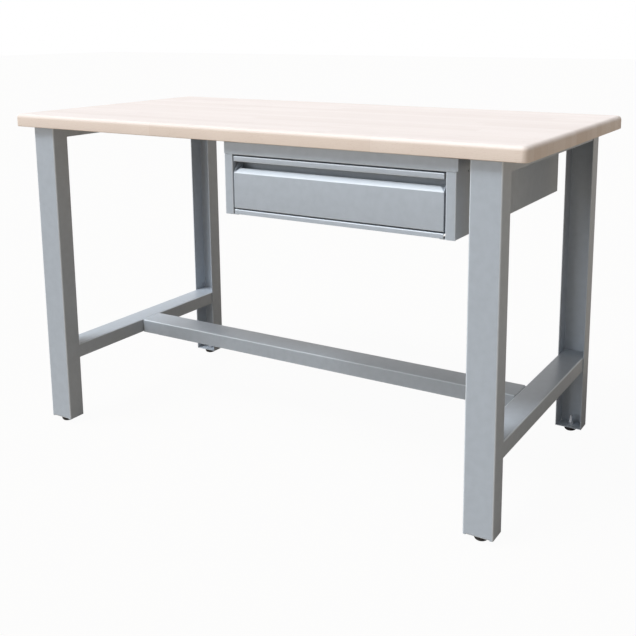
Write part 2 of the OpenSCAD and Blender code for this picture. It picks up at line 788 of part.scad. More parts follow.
worktop();
leg_front_left();
leg_front_right();
leg_rear_left();
leg_rear_right();
lower_rail_left();
lower_rail_right();
upper_rail_left();
upper_rail_right();
stretcher();
stretcher_bolts();
stretcher_nuts();
worktop_screws();
foot_nuts();
pad(-1, -1);  // pad_front_left
pad(1, -1);  // pad_front_right
pad(-1, 1);  // pad_rear_left
pad(1, 1);  // pad_rear_right
stud(-1, -1);  // stud_front_left
stud(1, -1);  // stud_front_right
stud(-1, 1);  // stud_rear_left
stud(1, 1);  // stud_rear_right
housing_side_left();
housing_side_right();
housing_top_rail();
housing_back();
housing_bottom();
housing_screws();
runner_left();
runner_right();
outer_slide_left();
outer_slide_right();
outer_slide_screws();
middle_slide_left();
middle_slide_right();
outer_cage_left();
outer_cage_right();
inner_cage_left();
inner_cage_right();
inner_slide_left();
inner_slide_right();
inner_slide_screws();
drawer_face();
drawer_grip();
drawer_end_caps();
drawer_tray();
drawer_back();
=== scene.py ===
"""A workbench with a hanging drawer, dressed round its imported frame.

Lengths are metres in the frame's own axes: +X to the right, +Y to the back, +Z up from the floor.
Every folded panel is a grid carried along its bent cross-section, so its bends are true arcs.
"""

import logging
import math
from collections.abc import Callable, Sequence
from dataclasses import dataclass, field
from enum import Enum
from functools import cached_property

import bpy
import numpy as np
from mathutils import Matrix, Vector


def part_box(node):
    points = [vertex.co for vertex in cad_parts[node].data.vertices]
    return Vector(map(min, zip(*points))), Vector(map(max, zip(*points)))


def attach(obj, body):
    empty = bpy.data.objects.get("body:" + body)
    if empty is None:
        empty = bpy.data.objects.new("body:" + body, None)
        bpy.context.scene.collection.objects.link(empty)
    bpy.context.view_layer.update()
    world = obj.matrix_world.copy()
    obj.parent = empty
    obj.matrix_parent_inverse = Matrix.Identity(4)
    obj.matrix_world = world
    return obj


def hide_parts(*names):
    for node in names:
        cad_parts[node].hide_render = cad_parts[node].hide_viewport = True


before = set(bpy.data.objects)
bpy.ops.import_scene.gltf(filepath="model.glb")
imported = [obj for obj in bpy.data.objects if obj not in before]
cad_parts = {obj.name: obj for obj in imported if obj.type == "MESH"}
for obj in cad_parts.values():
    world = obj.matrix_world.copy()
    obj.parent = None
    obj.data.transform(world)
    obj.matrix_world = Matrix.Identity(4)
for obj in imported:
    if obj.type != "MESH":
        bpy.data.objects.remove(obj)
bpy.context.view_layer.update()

log = logging.getLogger("workbench")

MM = 0.001
BEND_STEPS = 8
ARC_STEPS = 8
HOLE_STEPS = 12
SHARP_ANGLE = math.radians(32)
SOFTENED_ANGLE = math.radians(50)
HEXAGON_STEPS = 48
HEXAGON_FACE_SHARE = 0.48
LATHE_STEPS = 64
QUARTER = np.radians(np.linspace(0.0, 90.0, ARC_STEPS + 1))

Point = tuple[float, float]
Triple = tuple[float, float, float]
Keep = Callable[[np.ndarray, np.ndarray, np.ndarray], np.ndarray]


# ---- Surfaces ----


class Run(Enum):
    """The axis along which a cross-section is carried, with the axes of its two coordinates."""

    X = (1, 2, 0)
    Y = (0, 2, 1)
    Z = (0, 1, 2)


class Opening(Enum):
    """The side on which a channel is open, as the low or high end of its cross-section's u or v."""

    LOW_U = 0
    LOW_V = 1
    HIGH_U = 2
    HIGH_V = 3


@dataclass(frozen=True)
class Hole:
    """A round hole through a flat of a sheet.

    Attributes:
        at: A point of the hole's axis on the cross-section's own path.
        run: The place of the hole along the run.
        radius: The hole's radius.
    """

    at: Point
    run: float
    radius: float


@dataclass
class Shell:
    """A surface as whole arrays.

    Attributes:
        points: The vertices, one row each.
        faces: The faces, each an array of vertex indices that turns anticlockwise seen from outside.
        bend: How far each vertex is into the outside of a bend, from 0 to 1. The paint shows it
            paler, partly as a painted highlight.
    """

    points: np.ndarray
    faces: list[np.ndarray]
    bend: np.ndarray = field(default_factory=lambda: np.zeros(0))

    def __post_init__(self) -> None:
        """Gives every vertex a bend of 0 where none is stated."""
        if len(self.bend) != len(self.points):
            self.bend = np.zeros(len(self.points))

    def __add__(self, other: "Shell") -> "Shell":
        """Both surfaces as one.

        Args:
            other: The other surface.

        Returns:
            Both of them.
        """
        moved = [face + len(self.points) for face in other.faces]
        return Shell(
            np.vstack([self.points, other.points]),
            self.faces + moved,
            np.concatenate([self.bend, other.bend]),
        )

    def flipped(self) -> "Shell":
        """The same surface with its faces turned over."""
        return Shell(self.points, [face[::-1] for face in self.faces], self.bend)

    def mirrored(self, axis: int, about: float = 0.0) -> "Shell":
        """The mirror image in the plane where the coordinate of that axis equals about.

        Args:
            axis: The axis that the plane stands across.
            about: The plane's place on it.

        Returns:
            The mirror image, with its faces still pointing outwards.
        """
        points = self.points.copy()
        points[:, axis] = 2 * about - points[:, axis]
        return Shell(points, [face[::-1] for face in self.faces], self.bend)

    def both(self, axis: int, about: float = 0.0) -> "Shell":
        """The surface together with its mirror image."""
        return self + self.mirrored(axis, about)

    def moved(self, by: Sequence[float]) -> "Shell":
        """The surface moved by a vector."""
        return Shell(self.points + np.asarray(by, float), self.faces, self.bend)

    def turned(self, run: Run) -> "Shell":
        """The surface, made along Z, laid along another axis.

        Args:
            run: The axis to lay it along.

        Returns:
            The surface, laid along that axis.
        """
        points = np.empty_like(self.points)
        points[:, list(run.value)] = self.points
        turned = Shell(points, self.faces, self.bend)
        return turned.flipped() if run is Run.Y else turned


def add_all(shells: Sequence[Shell]) -> Shell:
    """Joins several surfaces into one.

    Args:
        shells: The surfaces, at least one.

    Returns:
        All of them as one.
    """
    total = shells[0]
    for shell in shells[1:]:
        total = total + shell
    return total


def folded_line(
    path: Sequence[Point], sheet: float, radius: float, marks: Sequence[Point]
) -> tuple[np.ndarray, np.ndarray, np.ndarray, np.ndarray]:
    """Works out both faces of a folded sheet's cross-section, point for point.

    The sheet lies to the left of the path. At each inner corner, with u the direction before it and a the
    turn, the bend's centre is the corner - u R tan(|a| / 2) + left(u) sign(a) R, where R is the path face's
    own radius, and both faces follow arcs of angle a round that centre.

    Args:
        path: The corners of the sheet's path face.
        sheet: The sheet's thickness.
        radius: The inner radius of the bends.
        marks: Extra points on the flats, where a cut starts or ends.

    Returns:
        The path face, the other face, and how far each of their points is into the outside of a bend.
    """
    corners = np.asarray(path, float)
    step = np.diff(corners, axis=0)
    unit = step / np.linalg.norm(step, axis=1, keepdims=True)
    left = np.stack([-unit[:, 1], unit[:, 0]], axis=1)
    u, v, side_of = unit[:-1], unit[1:], left[:-1]
    turn = np.arctan2(u[:, 0] * v[:, 1] - u[:, 1] * v[:, 0], (u * v).sum(1))
    sign = np.sign(turn)
    near_r = np.where(turn > 0, radius + sheet, radius)
    far_r = np.where(turn > 0, radius, radius + sheet)
    centre = corners[1:-1] - u * (near_r * np.tan(np.abs(turn) / 2))[:, None]
    centre = centre + side_of * (sign * near_r)[:, None]
    share = np.linspace(0.0, 1.0, BEND_STEPS + 1)
    start = np.arctan2(-sign * side_of[:, 1], -sign * side_of[:, 0])
    angle = start[:, None] + turn[:, None] * share
    ring = np.stack([np.cos(angle), np.sin(angle)], axis=-1)
    arcs = [(centre[:, None] + r[:, None, None] * ring).reshape(-1, 2) for r in (near_r, far_r)]
    swell = np.sin(np.pi * share)
    outside = [(swell * hit[:, None]).ravel() for hit in (turn > 0, turn < 0)]
    near = np.vstack([corners[:1], arcs[0], corners[-1:]])
    far = np.vstack([corners[:1] + left[:1] * sheet, arcs[1], corners[-1:] + left[-1:] * sheet])
    near_bend, far_bend = (np.concatenate([[0.0], b, [0.0]]) for b in outside)
    for mark in marks:
        i, s = on_line(near, mark)
        near = np.insert(near, i + 1, near[i] + s * (near[i + 1] - near[i]), axis=0)
        far = np.insert(far, i + 1, far[i] + s * (far[i + 1] - far[i]), axis=0)
        near_bend, far_bend = (np.insert(b, i + 1, 0.0) for b in (near_bend, far_bend))
    return near, far, near_bend, far_bend


def on_line(line: np.ndarray, point: Point) -> tuple[int, float]:
    """Finds the stretch of a line that a point lies on, and its share of the way along that stretch.

    Args:
        line: The line's points.
        point: A point inside one of its stretches.

    Returns:
        The stretch's number, and the point's share of the way along it.
    """
    step = np.diff(line, axis=0)
    offset = np.asarray(point, float) - line[:-1]
    share = (offset * step).sum(1) / (step**2).sum(1)
    apart = np.linalg.norm(offset - step * share[:, None], axis=1)
    apart[(share <= 0) | (share >= 1)] = np.inf
    nearest = int(np.argmin(apart))
    return nearest, float(share[nearest])


def grid_walls(mask: np.ndarray) -> list[tuple[np.ndarray, np.ndarray, bool, bool]]:
    """Finds the cut edges of a sheet whose cells are partly missing.

    Args:
        mask: Whether the sheet is there, for each stretch of its cross-section and each level of its run.

    Returns:
        For each kind of edge, the rows and columns of its cells, whether it lies along the run, and whether
        it faces back.
    """
    walls = []
    for axis in (0, 1):
        padded = np.pad(mask.astype(int), [(1 - axis, 1 - axis), (axis, axis)])
        change = np.diff(padded, axis=axis)
        for step in (1, -1):
            rows, cols = np.nonzero(change == step)
            walls.append((rows, cols, axis == 0, step > 0))
    return walls


def folded_sheet(
    path: Sequence[Point],
    sheet: float,
    radius: float,
    run: Run,
    levels: Sequence[float],
    keep: Keep | None = None,
    marks: Sequence[Point] = (),
    holes: Sequence[Hole] = (),
) -> Shell:
    """Builds a folded sheet: a grid of its bent cross-section by the levels of its run, on both faces.

    A point of the sheet is the cross-section's point i carried to level j. Cells of the grid may be left
    out, and every border of what is left gets a wall one sheet thick, so that the surface is closed.

    Args:
        path: The corners of the path face, with the sheet to the left of it.
        sheet: The sheet's thickness.
        radius: The inner radius of the bends.
        run: The axis that the cross-section is carried along.
        levels: The places along the run where the sheet starts, ends, or a cut does.
        keep: Says from a cell's middle, as cross-section u, v and run w, whether the sheet is there.
        marks: Extra points of the path on the flats, where a cut starts or ends.
        holes: Round holes in the flats.

    Returns:
        The closed surface.
    """
    near, far, near_bend, far_bend = folded_line(path, sheet, radius, marks)
    w = np.asarray(levels, float)
    rows, cols = len(near), len(w)
    flat = np.stack([near, far])
    points = np.empty((2, rows, cols, 3))
    points[..., run.value[0]] = flat[:, :, None, 0]
    points[..., run.value[1]] = flat[:, :, None, 1]
    points[..., run.value[2]] = w
    index = np.arange(2 * rows * cols).reshape(2, rows, cols)
    middle = (near[:-1] + near[1:] + far[:-1] + far[1:]) / 4
    mask = np.ones((rows - 1, cols - 1), bool)
    if keep is not None:
        mask = keep(middle[:, :1], middle[:, 1:], (w[:-1] + w[1:])[None] / 2) & mask

    faces: list[np.ndarray] = []
    solid = mask.copy()
    extra = [points.reshape(-1, 3)]
    by_cell: dict[tuple[int, int], list[Hole]] = {}
    for hole in holes:
        i, _ = on_line(near, hole.at)
        j = int(np.searchsorted(w, hole.run)) - 1
        solid[i, j] = False
        by_cell.setdefault((i, j), []).append(hole)
    for (i, j), drilled in by_cell.items():
        base = sum(len(block) for block in extra)
        corners = index[:, [i, i + 1, i + 1, i], [j, j, j + 1, j + 1]]
        rims, made = drilled_cell(near, far, i, run, sorted(drilled, key=lambda h: h.run), corners, base)
        extra.append(rims)
        faces += made

    i, j = np.nonzero(solid)
    cell = np.stack([index[:, i, j], index[:, i + 1, j], index[:, i + 1, j + 1], index[:, i, j + 1]], -1)
    faces += list(cell[0]) + list(cell[1][:, ::-1])
    for i, j, along, faces_back in grid_walls(mask):
        start, end = (i, j), (i, j + 1) if along else (i + 1, j)
        wall = np.stack([index[0][start], index[0][end], index[1][end], index[1][start]], -1)
        faces += list(wall[:, ::-1] if along != faces_back else wall)

    vertices = np.vstack(extra)
    bend = np.zeros(len(vertices))
    bend[: 2 * rows * cols] = np.repeat(np.concatenate([near_bend, far_bend]), cols)
    used, renumbered = np.unique(np.concatenate(faces), return_inverse=True)
    sizes = np.cumsum([len(face) for face in faces])[:-1]
    shell = Shell(vertices[used], np.split(renumbered, sizes), bend[used])
    return shell.flipped() if run is Run.Y else shell


def drilled_cell(
    near: np.ndarray, far: np.ndarray, i: int, run: Run, holes: Sequence[Hole], corners: np.ndarray, base: int
) -> tuple[np.ndarray, list[np.ndarray]]:
    """Builds a flat cell of a sheet with round holes in it.

    Each face of the cell is two polygons, which meet along a line from its first corner through the holes'
    centres to the opposite corner, and pass each hole on either side. A rim point is the hole's centre
    + r (d cos t + w sin t), with d the flat's direction and w the run's.

    Args:
        near: The cross-section's path face.
        far: The cross-section's other face.
        i: The stretch of the cross-section that the cell is on.
        run: The axis of the run.
        holes: The holes, in order along the run.
        corners: The cell's corners on both faces, two rows of four vertex indices.
        base: The index of the first new vertex.

    Returns:
        The rims' vertices and the faces.
    """
    direction = near[i + 1] - near[i]
    direction = direction / np.linalg.norm(direction)
    through = far[i] - near[i]
    through = through - direction * (through @ direction)
    turn = -np.pi / 2 + np.linspace(0.0, 2 * np.pi, 2 * HOLE_STEPS, endpoint=False)
    rims, faces, order = [], [], []
    for n, hole in enumerate(holes):
        ring = np.outer(np.cos(turn), direction) * hole.radius
        for depth in (np.zeros(2), through):
            rim = np.empty((2 * HOLE_STEPS, 3))
            rim[:, list(run.value[:2])] = np.asarray(hole.at) + depth + ring
            rim[:, run.value[2]] = hole.run + np.sin(turn) * hole.radius
            rims.append(rim)
        order.append(base + 4 * HOLE_STEPS * n + np.arange(2 * HOLE_STEPS))
        inner, outer = order[-1], order[-1] + 2 * HOLE_STEPS
        faces += list(np.stack([inner, np.roll(inner, -1), np.roll(outer, -1), outer], -1))
    right = [rim[HOLE_STEPS::-1] for rim in reversed(order)]
    left = [np.concatenate([rim[:1], rim[: HOLE_STEPS - 1 : -1]]) for rim in order]
    for side, (a, b, c, d) in enumerate(corners):
        shift = side * 2 * HOLE_STEPS
        first = np.concatenate([[a, b, c]] + [rim + shift for rim in right])
        second = np.concatenate([[a]] + [rim + shift for rim in left] + [[c, d]])
        faces += [first, second] if side == 0 else [first[::-1], second[::-1]]
    return np.vstack(rims), faces


def skin(grid: np.ndarray, caps: bool = True, ring: bool = False) -> Shell:
    """Covers a grid of points whose rows go round anticlockwise seen from above, from the lowest row up.

    Args:
        grid: The points, as rows by columns by three.
        caps: Whether a flat face closes the first and the last row.
        ring: Whether the last row joins the first.

    Returns:
        The surface.
    """
    rows, cols = grid.shape[:2]
    index = np.arange(rows * cols).reshape(rows, cols)
    low, high = (index, np.roll(index, -1, axis=0)) if ring else (index[:-1], index[1:])
    quads = np.stack([low, np.roll(low, -1, axis=1), np.roll(high, -1, axis=1), high], -1)
    faces = list(quads.reshape(-1, 4))
    if caps:
        faces += [index[0][::-1], index[-1]]
    return Shell(grid.reshape(-1, 3), faces)


def prism(outline: np.ndarray, run: Run, low: float, high: float) -> Shell:
    """Carries a closed anticlockwise outline from low to high along an axis."""
    ends = [np.column_stack([outline, np.full(len(outline), w)]) for w in (low, high)]
    return skin(np.stack(ends)).turned(run)


def arc(centre: Point, radius: float, start: float, end: float, steps: int = ARC_STEPS) -> np.ndarray:
    """Points of a circle from one angle to another, in degrees: the centre + r (cos t, sin t)."""
    angle = np.radians(np.linspace(start, end, steps + 1))
    return np.asarray(centre) + radius * np.stack([np.cos(angle), np.sin(angle)], axis=1)


def revolved(profile: np.ndarray, steps: int = LATHE_STEPS) -> Shell:
    """Turns a profile of radius and height round Z: a point is (r cos t, r sin t, z).

    Args:
        profile: The radius and height of each point, from the lower end to the upper.
        steps: The number of columns.

    Returns:
        The surface, closed by flat ends.
    """
    angle = np.linspace(0.0, 2 * np.pi, steps, endpoint=False)
    radius, height = profile[:, :1], profile[:, 1:]
    return skin(np.stack([radius * np.cos(angle), radius * np.sin(angle), height + 0 * angle], -1))


# ---- Finishes ----


class Graph:
    """The nodes of a new material or world, with short calls to add and join them."""

    def __init__(self, block: bpy.types.Material | bpy.types.World, shader: str = "Principled BSDF") -> None:
        """Starts with the shader that a new material or world has.

        Args:
            block: The material or world.
            shader: Its shader's name.
        """
        block.use_nodes = True
        self.block = block
        self.tree = block.node_tree
        self.shader = self.tree.nodes[shader]

    @cached_property
    def place(self) -> bpy.types.NodeSocket:
        """The place on the piece, in the object's own axes."""
        return self.add("ShaderNodeTexCoord").outputs["Object"]

    def add(
        self, kind: str, inputs: dict[str | int, object] | None = None, **settings: object
    ) -> bpy.types.Node:
        """Adds a node.

        Args:
            kind: The node's type.
            inputs: A value for each input, or the output that feeds it.
            **settings: The node's own settings.

        Returns:
            The node.
        """
        node = self.tree.nodes.new(kind)
        for key, value in settings.items():
            setattr(node, key, value)
        self.feed(node, inputs or {})
        return node

    def feed(self, node: bpy.types.Node, inputs: dict[str | int, object]) -> None:
        """Sets each of a node's inputs to a value, or links an output to it.

        Args:
            node: The node.
            inputs: A value for each input, or the output that feeds it.
        """
        for key, value in inputs.items():
            if isinstance(value, bpy.types.NodeSocket):
                self.tree.links.new(value, node.inputs[key])
            else:
                node.inputs[key].default_value = value

    def math(self, operation: str, *values: object) -> bpy.types.NodeSocket:
        """The result of a sum on one to three values."""
        return self.add("ShaderNodeMath", dict(enumerate(values)), operation=operation).outputs[0]

    def noise(self, scale: float, detail: float = 2.0, place: object = None) -> bpy.types.NodeSocket:
        """Smooth noise, from about 0.2 to 0.8.

        Args:
            scale: How many of its features go to a metre.
            detail: The number of its finer layers.
            place: Where it is read, or the object's own axes if None.

        Returns:
            The noise.
        """
        where = self.place if place is None else place
        inputs = {"Vector": where, "Scale": scale, "Detail": detail}
        return self.add("ShaderNodeTexNoise", inputs).outputs["Fac"]

    def streaks(self, scale: Sequence[float], detail: float = 2.0) -> bpy.types.NodeSocket:
        """Smooth noise with a scale for each axis, drawn out along the axis whose scale is small."""
        place = self.add("ShaderNodeMapping", {"Vector": self.place, "Scale": scale}).outputs[0]
        return self.noise(1.0, detail, place)

    def ramp(self, value: object, *stops: tuple[float, Sequence[float]]) -> bpy.types.NodeSocket:
        """A colour for a value, blended between stops.

        Args:
            value: The value.
            *stops: The value and colour of each stop, in order.

        Returns:
            The colour.
        """
        node = self.add("ShaderNodeValToRGB", {"Fac": value})
        elements = node.color_ramp.elements
        while len(elements) < len(stops):
            elements.new(0.5)
        for element, (position, colour) in zip(elements, stops):
            element.position = position
            element.color = (*colour, 1.0)
        return node.outputs[0]

    def mix(self, share: object, a: object, b: object, blend: str = "MIX") -> bpy.types.NodeSocket:
        """Blends two colours.

        Args:
            share: The share of the second colour.
            a: The first colour.
            b: The second colour.
            blend: How the second colour meets the first.

        Returns:
            The blended colour.
        """
        a, b = ((*colour, 1.0) if isinstance(colour, tuple) else colour for colour in (a, b))
        inputs = {0: share, 6: a, 7: b}
        return self.add("ShaderNodeMix", inputs, data_type="RGBA", blend_type=blend).outputs[2]

    def bump(self, *layers: tuple[object, float]) -> None:
        """Raises the surface by each layer's height times its distance, in metres.

        Args:
            *layers: The height and distance of each layer, from the lowest up.
        """
        below: dict[str, object] = {}
        for height, distance in layers:
            inputs = {"Height": height, "Distance": distance, "Strength": 1.0, **below}
            below = {"Normal": self.add("ShaderNodeBump", inputs).outputs[0]}
        self.feed(self.shader, below)


def srgb(red: int, green: int, blue: int) -> Triple:
    """A colour written in the usual 0 to 255 scale, as linear light.

    Args:
        red: The red part.
        green: The green part.
        blue: The blue part.

    Returns:
        The same colour, each part from 0 to 1.
    """
    value = np.array([red, green, blue]) / 255
    linear = np.where(value <= 0.04045, value / 12.92, ((value + 0.055) / 1.055) ** 2.4)
    return tuple(float(part) for part in linear)


def shade(colour: Sequence[float], factor: float) -> tuple[float, ...]:
    """The colour made lighter or darker, up to white."""
    return tuple(min(1.0, part * factor) for part in colour)


@dataclass(frozen=True)
class PowderCoat:
    """Powder coat on folded steel: mottled, rare dark specks, bends paler partly as a painted highlight."""

    slot: str = "paint"
    colour: Triple = srgb(176, 183, 191)
    # The bends' paler colour is partly the coat's own and partly a painted highlight.
    bend_coat_and_highlight_colour: Triple = srgb(226, 232, 238)
    bend_coat_and_highlight_share: float = 0.75
    mottle: float = 0.035
    cloud_scale: float = 55.0
    cloud_share: float = 0.65
    grain_scale: float = 900.0
    grain_height: float = 0.04 * MM
    ripple_scale: float = 260.0
    ripple_height: float = 0.03 * MM
    speck_scale: float = 9.0
    speck_size: float = 0.012
    speck_tone: float = 0.35
    roughness: float = 0.28
    rougher: float = 0.12

    def material(self) -> bpy.types.Material:
        """Builds the material.

        Returns:
            The material.
        """
        g = Graph(bpy.data.materials.new("powder_coat"))
        cloud, grain = g.noise(self.cloud_scale, 4.0), g.noise(self.grain_scale)
        clouded = g.math("MULTIPLY", cloud, self.cloud_share)
        tone = g.math("MULTIPLY_ADD", grain, 1 - self.cloud_share, clouded)
        low, high = shade(self.colour, 1 - self.mottle), shade(self.colour, 1 + self.mottle)
        paint = g.ramp(tone, (0.36, low), (0.62, high))
        specks = g.add("ShaderNodeTexVoronoi", {"Vector": g.place, "Scale": self.speck_scale})
        speck = g.math("LESS_THAN", specks.outputs["Distance"], self.speck_size)
        spotted = g.mix(speck, paint, shade(self.colour, self.speck_tone))
        # Partly painted highlight: the bend attribute blends the paint towards the paler bend colour.
        bend = g.add("ShaderNodeAttribute", attribute_name="bend").outputs["Fac"]
        bright = g.mix(g.math("MULTIPLY", bend, self.bend_coat_and_highlight_share), spotted, self.bend_coat_and_highlight_colour)
        rough = g.math("MULTIPLY_ADD", grain, self.rougher, self.roughness)
        g.feed(g.shader, {"Base Color": bright, "Roughness": rough})
        g.bump((grain, self.grain_height), (g.noise(self.ripple_scale), self.ripple_height))
        return g.block


@dataclass(frozen=True)
class BeechStaves:
    """Laminated beech: staves laid side by side along X, with growth rings, rays and fine glue lines.

    Each stave's rings go round a heart that lies up to two staves to one side of it, heart_drop or more
    under heart_z. The top carries a painted highlight: its colour is blended by a set share towards a
    paler one at the height upper, and not at all fade below that.
    """

    slot: str = "beech"
    stave: float = 42 * MM
    length: float = 640 * MM
    stagger: float = 7.3
    ring: float = 3.1 * MM
    heart_z: float = 880 * MM
    heart_drop: float = 20 * MM
    heart_spread: float = 120 * MM
    wander: float = 20 * MM
    wander_scale: Triple = (2.2, 26.0, 26.0)
    pale: Triple = srgb(236, 220, 207)
    dark: Triple = srgb(223, 204, 188)
    late: Triple = srgb(203, 179, 158)
    late_share: float = 0.34
    ray_scale: Triple = (130.0, 900.0, 900.0)
    ray_limit: float = 0.68
    ray_share: float = 0.3
    cloud: Triple = (0.96, 0.95, 0.95)
    glue: Triple = srgb(190, 165, 143)
    glue_width: float = 0.2 * MM
    glue_share: float = 0.5
    glue_depth: float = 0.04 * MM
    fibre_scale: Triple = (60.0, 1500.0, 1500.0)
    fibre_height: float = 0.03 * MM
    # Painted highlight on the top face: a paler colour and its share at the height upper.
    top_highlight: Triple = srgb(252, 245, 245)
    top_highlight_share: float = 0.5
    upper: float = 905 * MM
    fade: float = 11 * MM
    roughness: float = 0.45
    rougher: float = 0.1

    def material(self) -> bpy.types.Material:
        """Builds the material: the stave's number picks its tone and the centre that its rings go round.

        Returns:
            The material.
        """
        g = Graph(bpy.data.materials.new("laminated_beech"))
        axes = g.add("ShaderNodeSeparateXYZ", {0: g.place}).outputs
        across = g.math("DIVIDE", axes[1], self.stave)
        row = g.math("FLOOR", across)
        lag = g.add("ShaderNodeTexWhiteNoise", {"W": row}, noise_dimensions="1D").outputs["Value"]
        along = g.math("MULTIPLY_ADD", lag, self.stagger, g.math("DIVIDE", axes[0], self.length))
        cell = g.add("ShaderNodeCombineXYZ", {0: g.math("FLOOR", along), 1: row}).outputs[0]
        pick = g.add("ShaderNodeTexWhiteNoise", {"Vector": cell}, noise_dimensions="2D").outputs
        chance = g.add("ShaderNodeSeparateColor", {0: pick["Color"]}).outputs

        wavy = g.streaks(self.wander_scale)
        side = g.math("SUBTRACT", across, g.math("ADD", row, g.math("MULTIPLY_ADD", chance[0], 3.0, -1.0)))
        drop = g.math("MULTIPLY_ADD", chance[1], self.heart_spread, self.heart_drop)
        height = g.math("SUBTRACT", axes[2], g.math("SUBTRACT", self.heart_z, drop))
        aside = g.math("MULTIPLY", side, self.stave)
        offset = g.add("ShaderNodeCombineXYZ", {0: aside, 1: height}).outputs[0]
        reach = g.add("ShaderNodeVectorMath", {0: offset}, operation="LENGTH").outputs["Value"]
        waved = g.math("MULTIPLY_ADD", wavy, self.wander, reach)
        rings = g.math("FRACT", g.math("DIVIDE", waved, self.ring))

        tone = g.ramp(pick["Value"], (0.15, self.pale), (0.95, self.dark))
        late = g.math("MULTIPLY", g.math("POWER", rings, 5.0), self.late_share)
        grained = g.mix(late, tone, self.late)
        rays = g.math("GREATER_THAN", g.streaks(self.ray_scale, 1.0), self.ray_limit)
        flecked = g.mix(g.math("MULTIPLY", rays, self.ray_share), grained, self.late)
        clouds = g.ramp(g.noise(5.0), (0.3, self.cloud), (0.7, (1.0, 1.0, 1.0)))
        clouded = g.mix(1.0, flecked, clouds, "MULTIPLY")
        edge, butt = g.math("PINGPONG", across, 0.5), g.math("PINGPONG", along, 0.5)
        beside = g.math("LESS_THAN", edge, self.glue_width / self.stave)
        ahead = g.math("LESS_THAN", butt, self.glue_width / self.length)
        seam = g.math("MAXIMUM", beside, ahead)
        glued = g.mix(g.math("MULTIPLY", seam, self.glue_share), clouded, self.glue)
        # Painted highlight: the colour turns paler towards the top face.
        below = g.math("SUBTRACT", self.upper, axes[2])
        glare = g.math("MULTIPLY_ADD", below, -self.top_highlight_share / self.fade, self.top_highlight_share)
        highlighted = g.mix(g.math("MAXIMUM", glare, 0.0), glued, self.top_highlight)
        rough = g.math("MULTIPLY_ADD", rings, self.rougher, self.roughness)
        g.feed(g.shader, {"Base Color": highlighted, "Roughness": rough})
        fibre = g.streaks(self.fibre_scale)
        g.bump((fibre, self.fibre_height), (g.math("SUBTRACT", 1.0, seam), self.glue_depth))
        return g.block


@dataclass(frozen=True)
class Zinc:
    """Zinc plate on turned and rolled steel: fine lines along the metal and cloudy patches."""

    slot: str = "zinc"
    bright: Triple = srgb(214, 216, 220)
    dull: Triple = srgb(178, 181, 187)
    patch_scale: float = 70.0
    line_scale: Triple = (2200.0, 60.0, 2200.0)
    line_depth: float = 0.02 * MM
    roughness: float = 0.24
    rougher: float = 0.22

    def material(self) -> bpy.types.Material:
        """Builds the material.

        Returns:
            The material.
        """
        g = Graph(bpy.data.materials.new("zinc_plate"))
        patch = g.noise(self.patch_scale, 3.0)
        colour = g.ramp(patch, (0.3, self.dull), (0.65, self.bright))
        rough = g.math("MULTIPLY_ADD", patch, self.rougher, self.roughness)
        g.feed(g.shader, {"Base Color": colour, "Metallic": 1.0, "Roughness": rough})
        g.bump((g.streaks(self.line_scale), self.line_depth))
        return g.block


@dataclass(frozen=True)
class BlackPlastic:
    """Moulded black plastic with a fine spark-eroded grain and dust in its lows."""

    slot: str = "black_plastic"
    colour: Triple = srgb(30, 28, 33)
    dust: Triple = srgb(62, 58, 58)
    dust_scale: float = 160.0
    grain_scale: float = 1400.0
    grain_height: float = 0.06 * MM
    roughness: float = 0.32
    rougher: float = 0.25

    def material(self) -> bpy.types.Material:
        """Builds the material.

        Returns:
            The material.
        """
        g = Graph(bpy.data.materials.new("black_plastic"))
        grain, dust = g.noise(self.grain_scale, 3.0), g.noise(self.dust_scale, 4.0)
        colour = g.ramp(dust, (0.45, self.colour), (0.8, self.dust))
        rough = g.math("MULTIPLY_ADD", grain, self.rougher, self.roughness)
        g.feed(g.shader, {"Base Color": colour, "Roughness": rough})
        g.bump((grain, self.grain_height))
        return g.block


Finish = PowderCoat | BeechStaves | Zinc | BlackPlastic


class Palette:
    """The finishes of this object, each made once."""

    def __init__(self) -> None:
        """Makes every material."""
        self.paint = PowderCoat()
        self.beech = BeechStaves()
        self.zinc = Zinc()
        self.plastic = BlackPlastic()
        finishes: list[Finish] = [self.paint, self.beech, self.zinc, self.plastic]
        self.made = {finish.slot: finish.material() for finish in finishes}

    def of(self, finish: Finish) -> bpy.types.Material:
        """The material of a finish."""
        return self.made[finish.slot]


# ---- Pieces ----


@dataclass
class Box:
    """A CAD node's box at rest."""

    low: np.ndarray
    high: np.ndarray

    @classmethod
    def of(cls, node: str) -> "Box":
        """The box of a node of the frame."""
        low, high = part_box(node)
        return cls(np.array(low), np.array(high))

    @property
    def middle(self) -> np.ndarray:
        """The box's centre."""
        return (self.low + self.high) / 2

    def screw_places(self, share: float) -> list[float]:
        """Three places along Y: a share of the box's depth from either end, and the middle."""
        start, depth = self.low[1], self.high[1] - self.low[1]
        return [start + k * depth for k in (share, 0.5, 1 - share)]


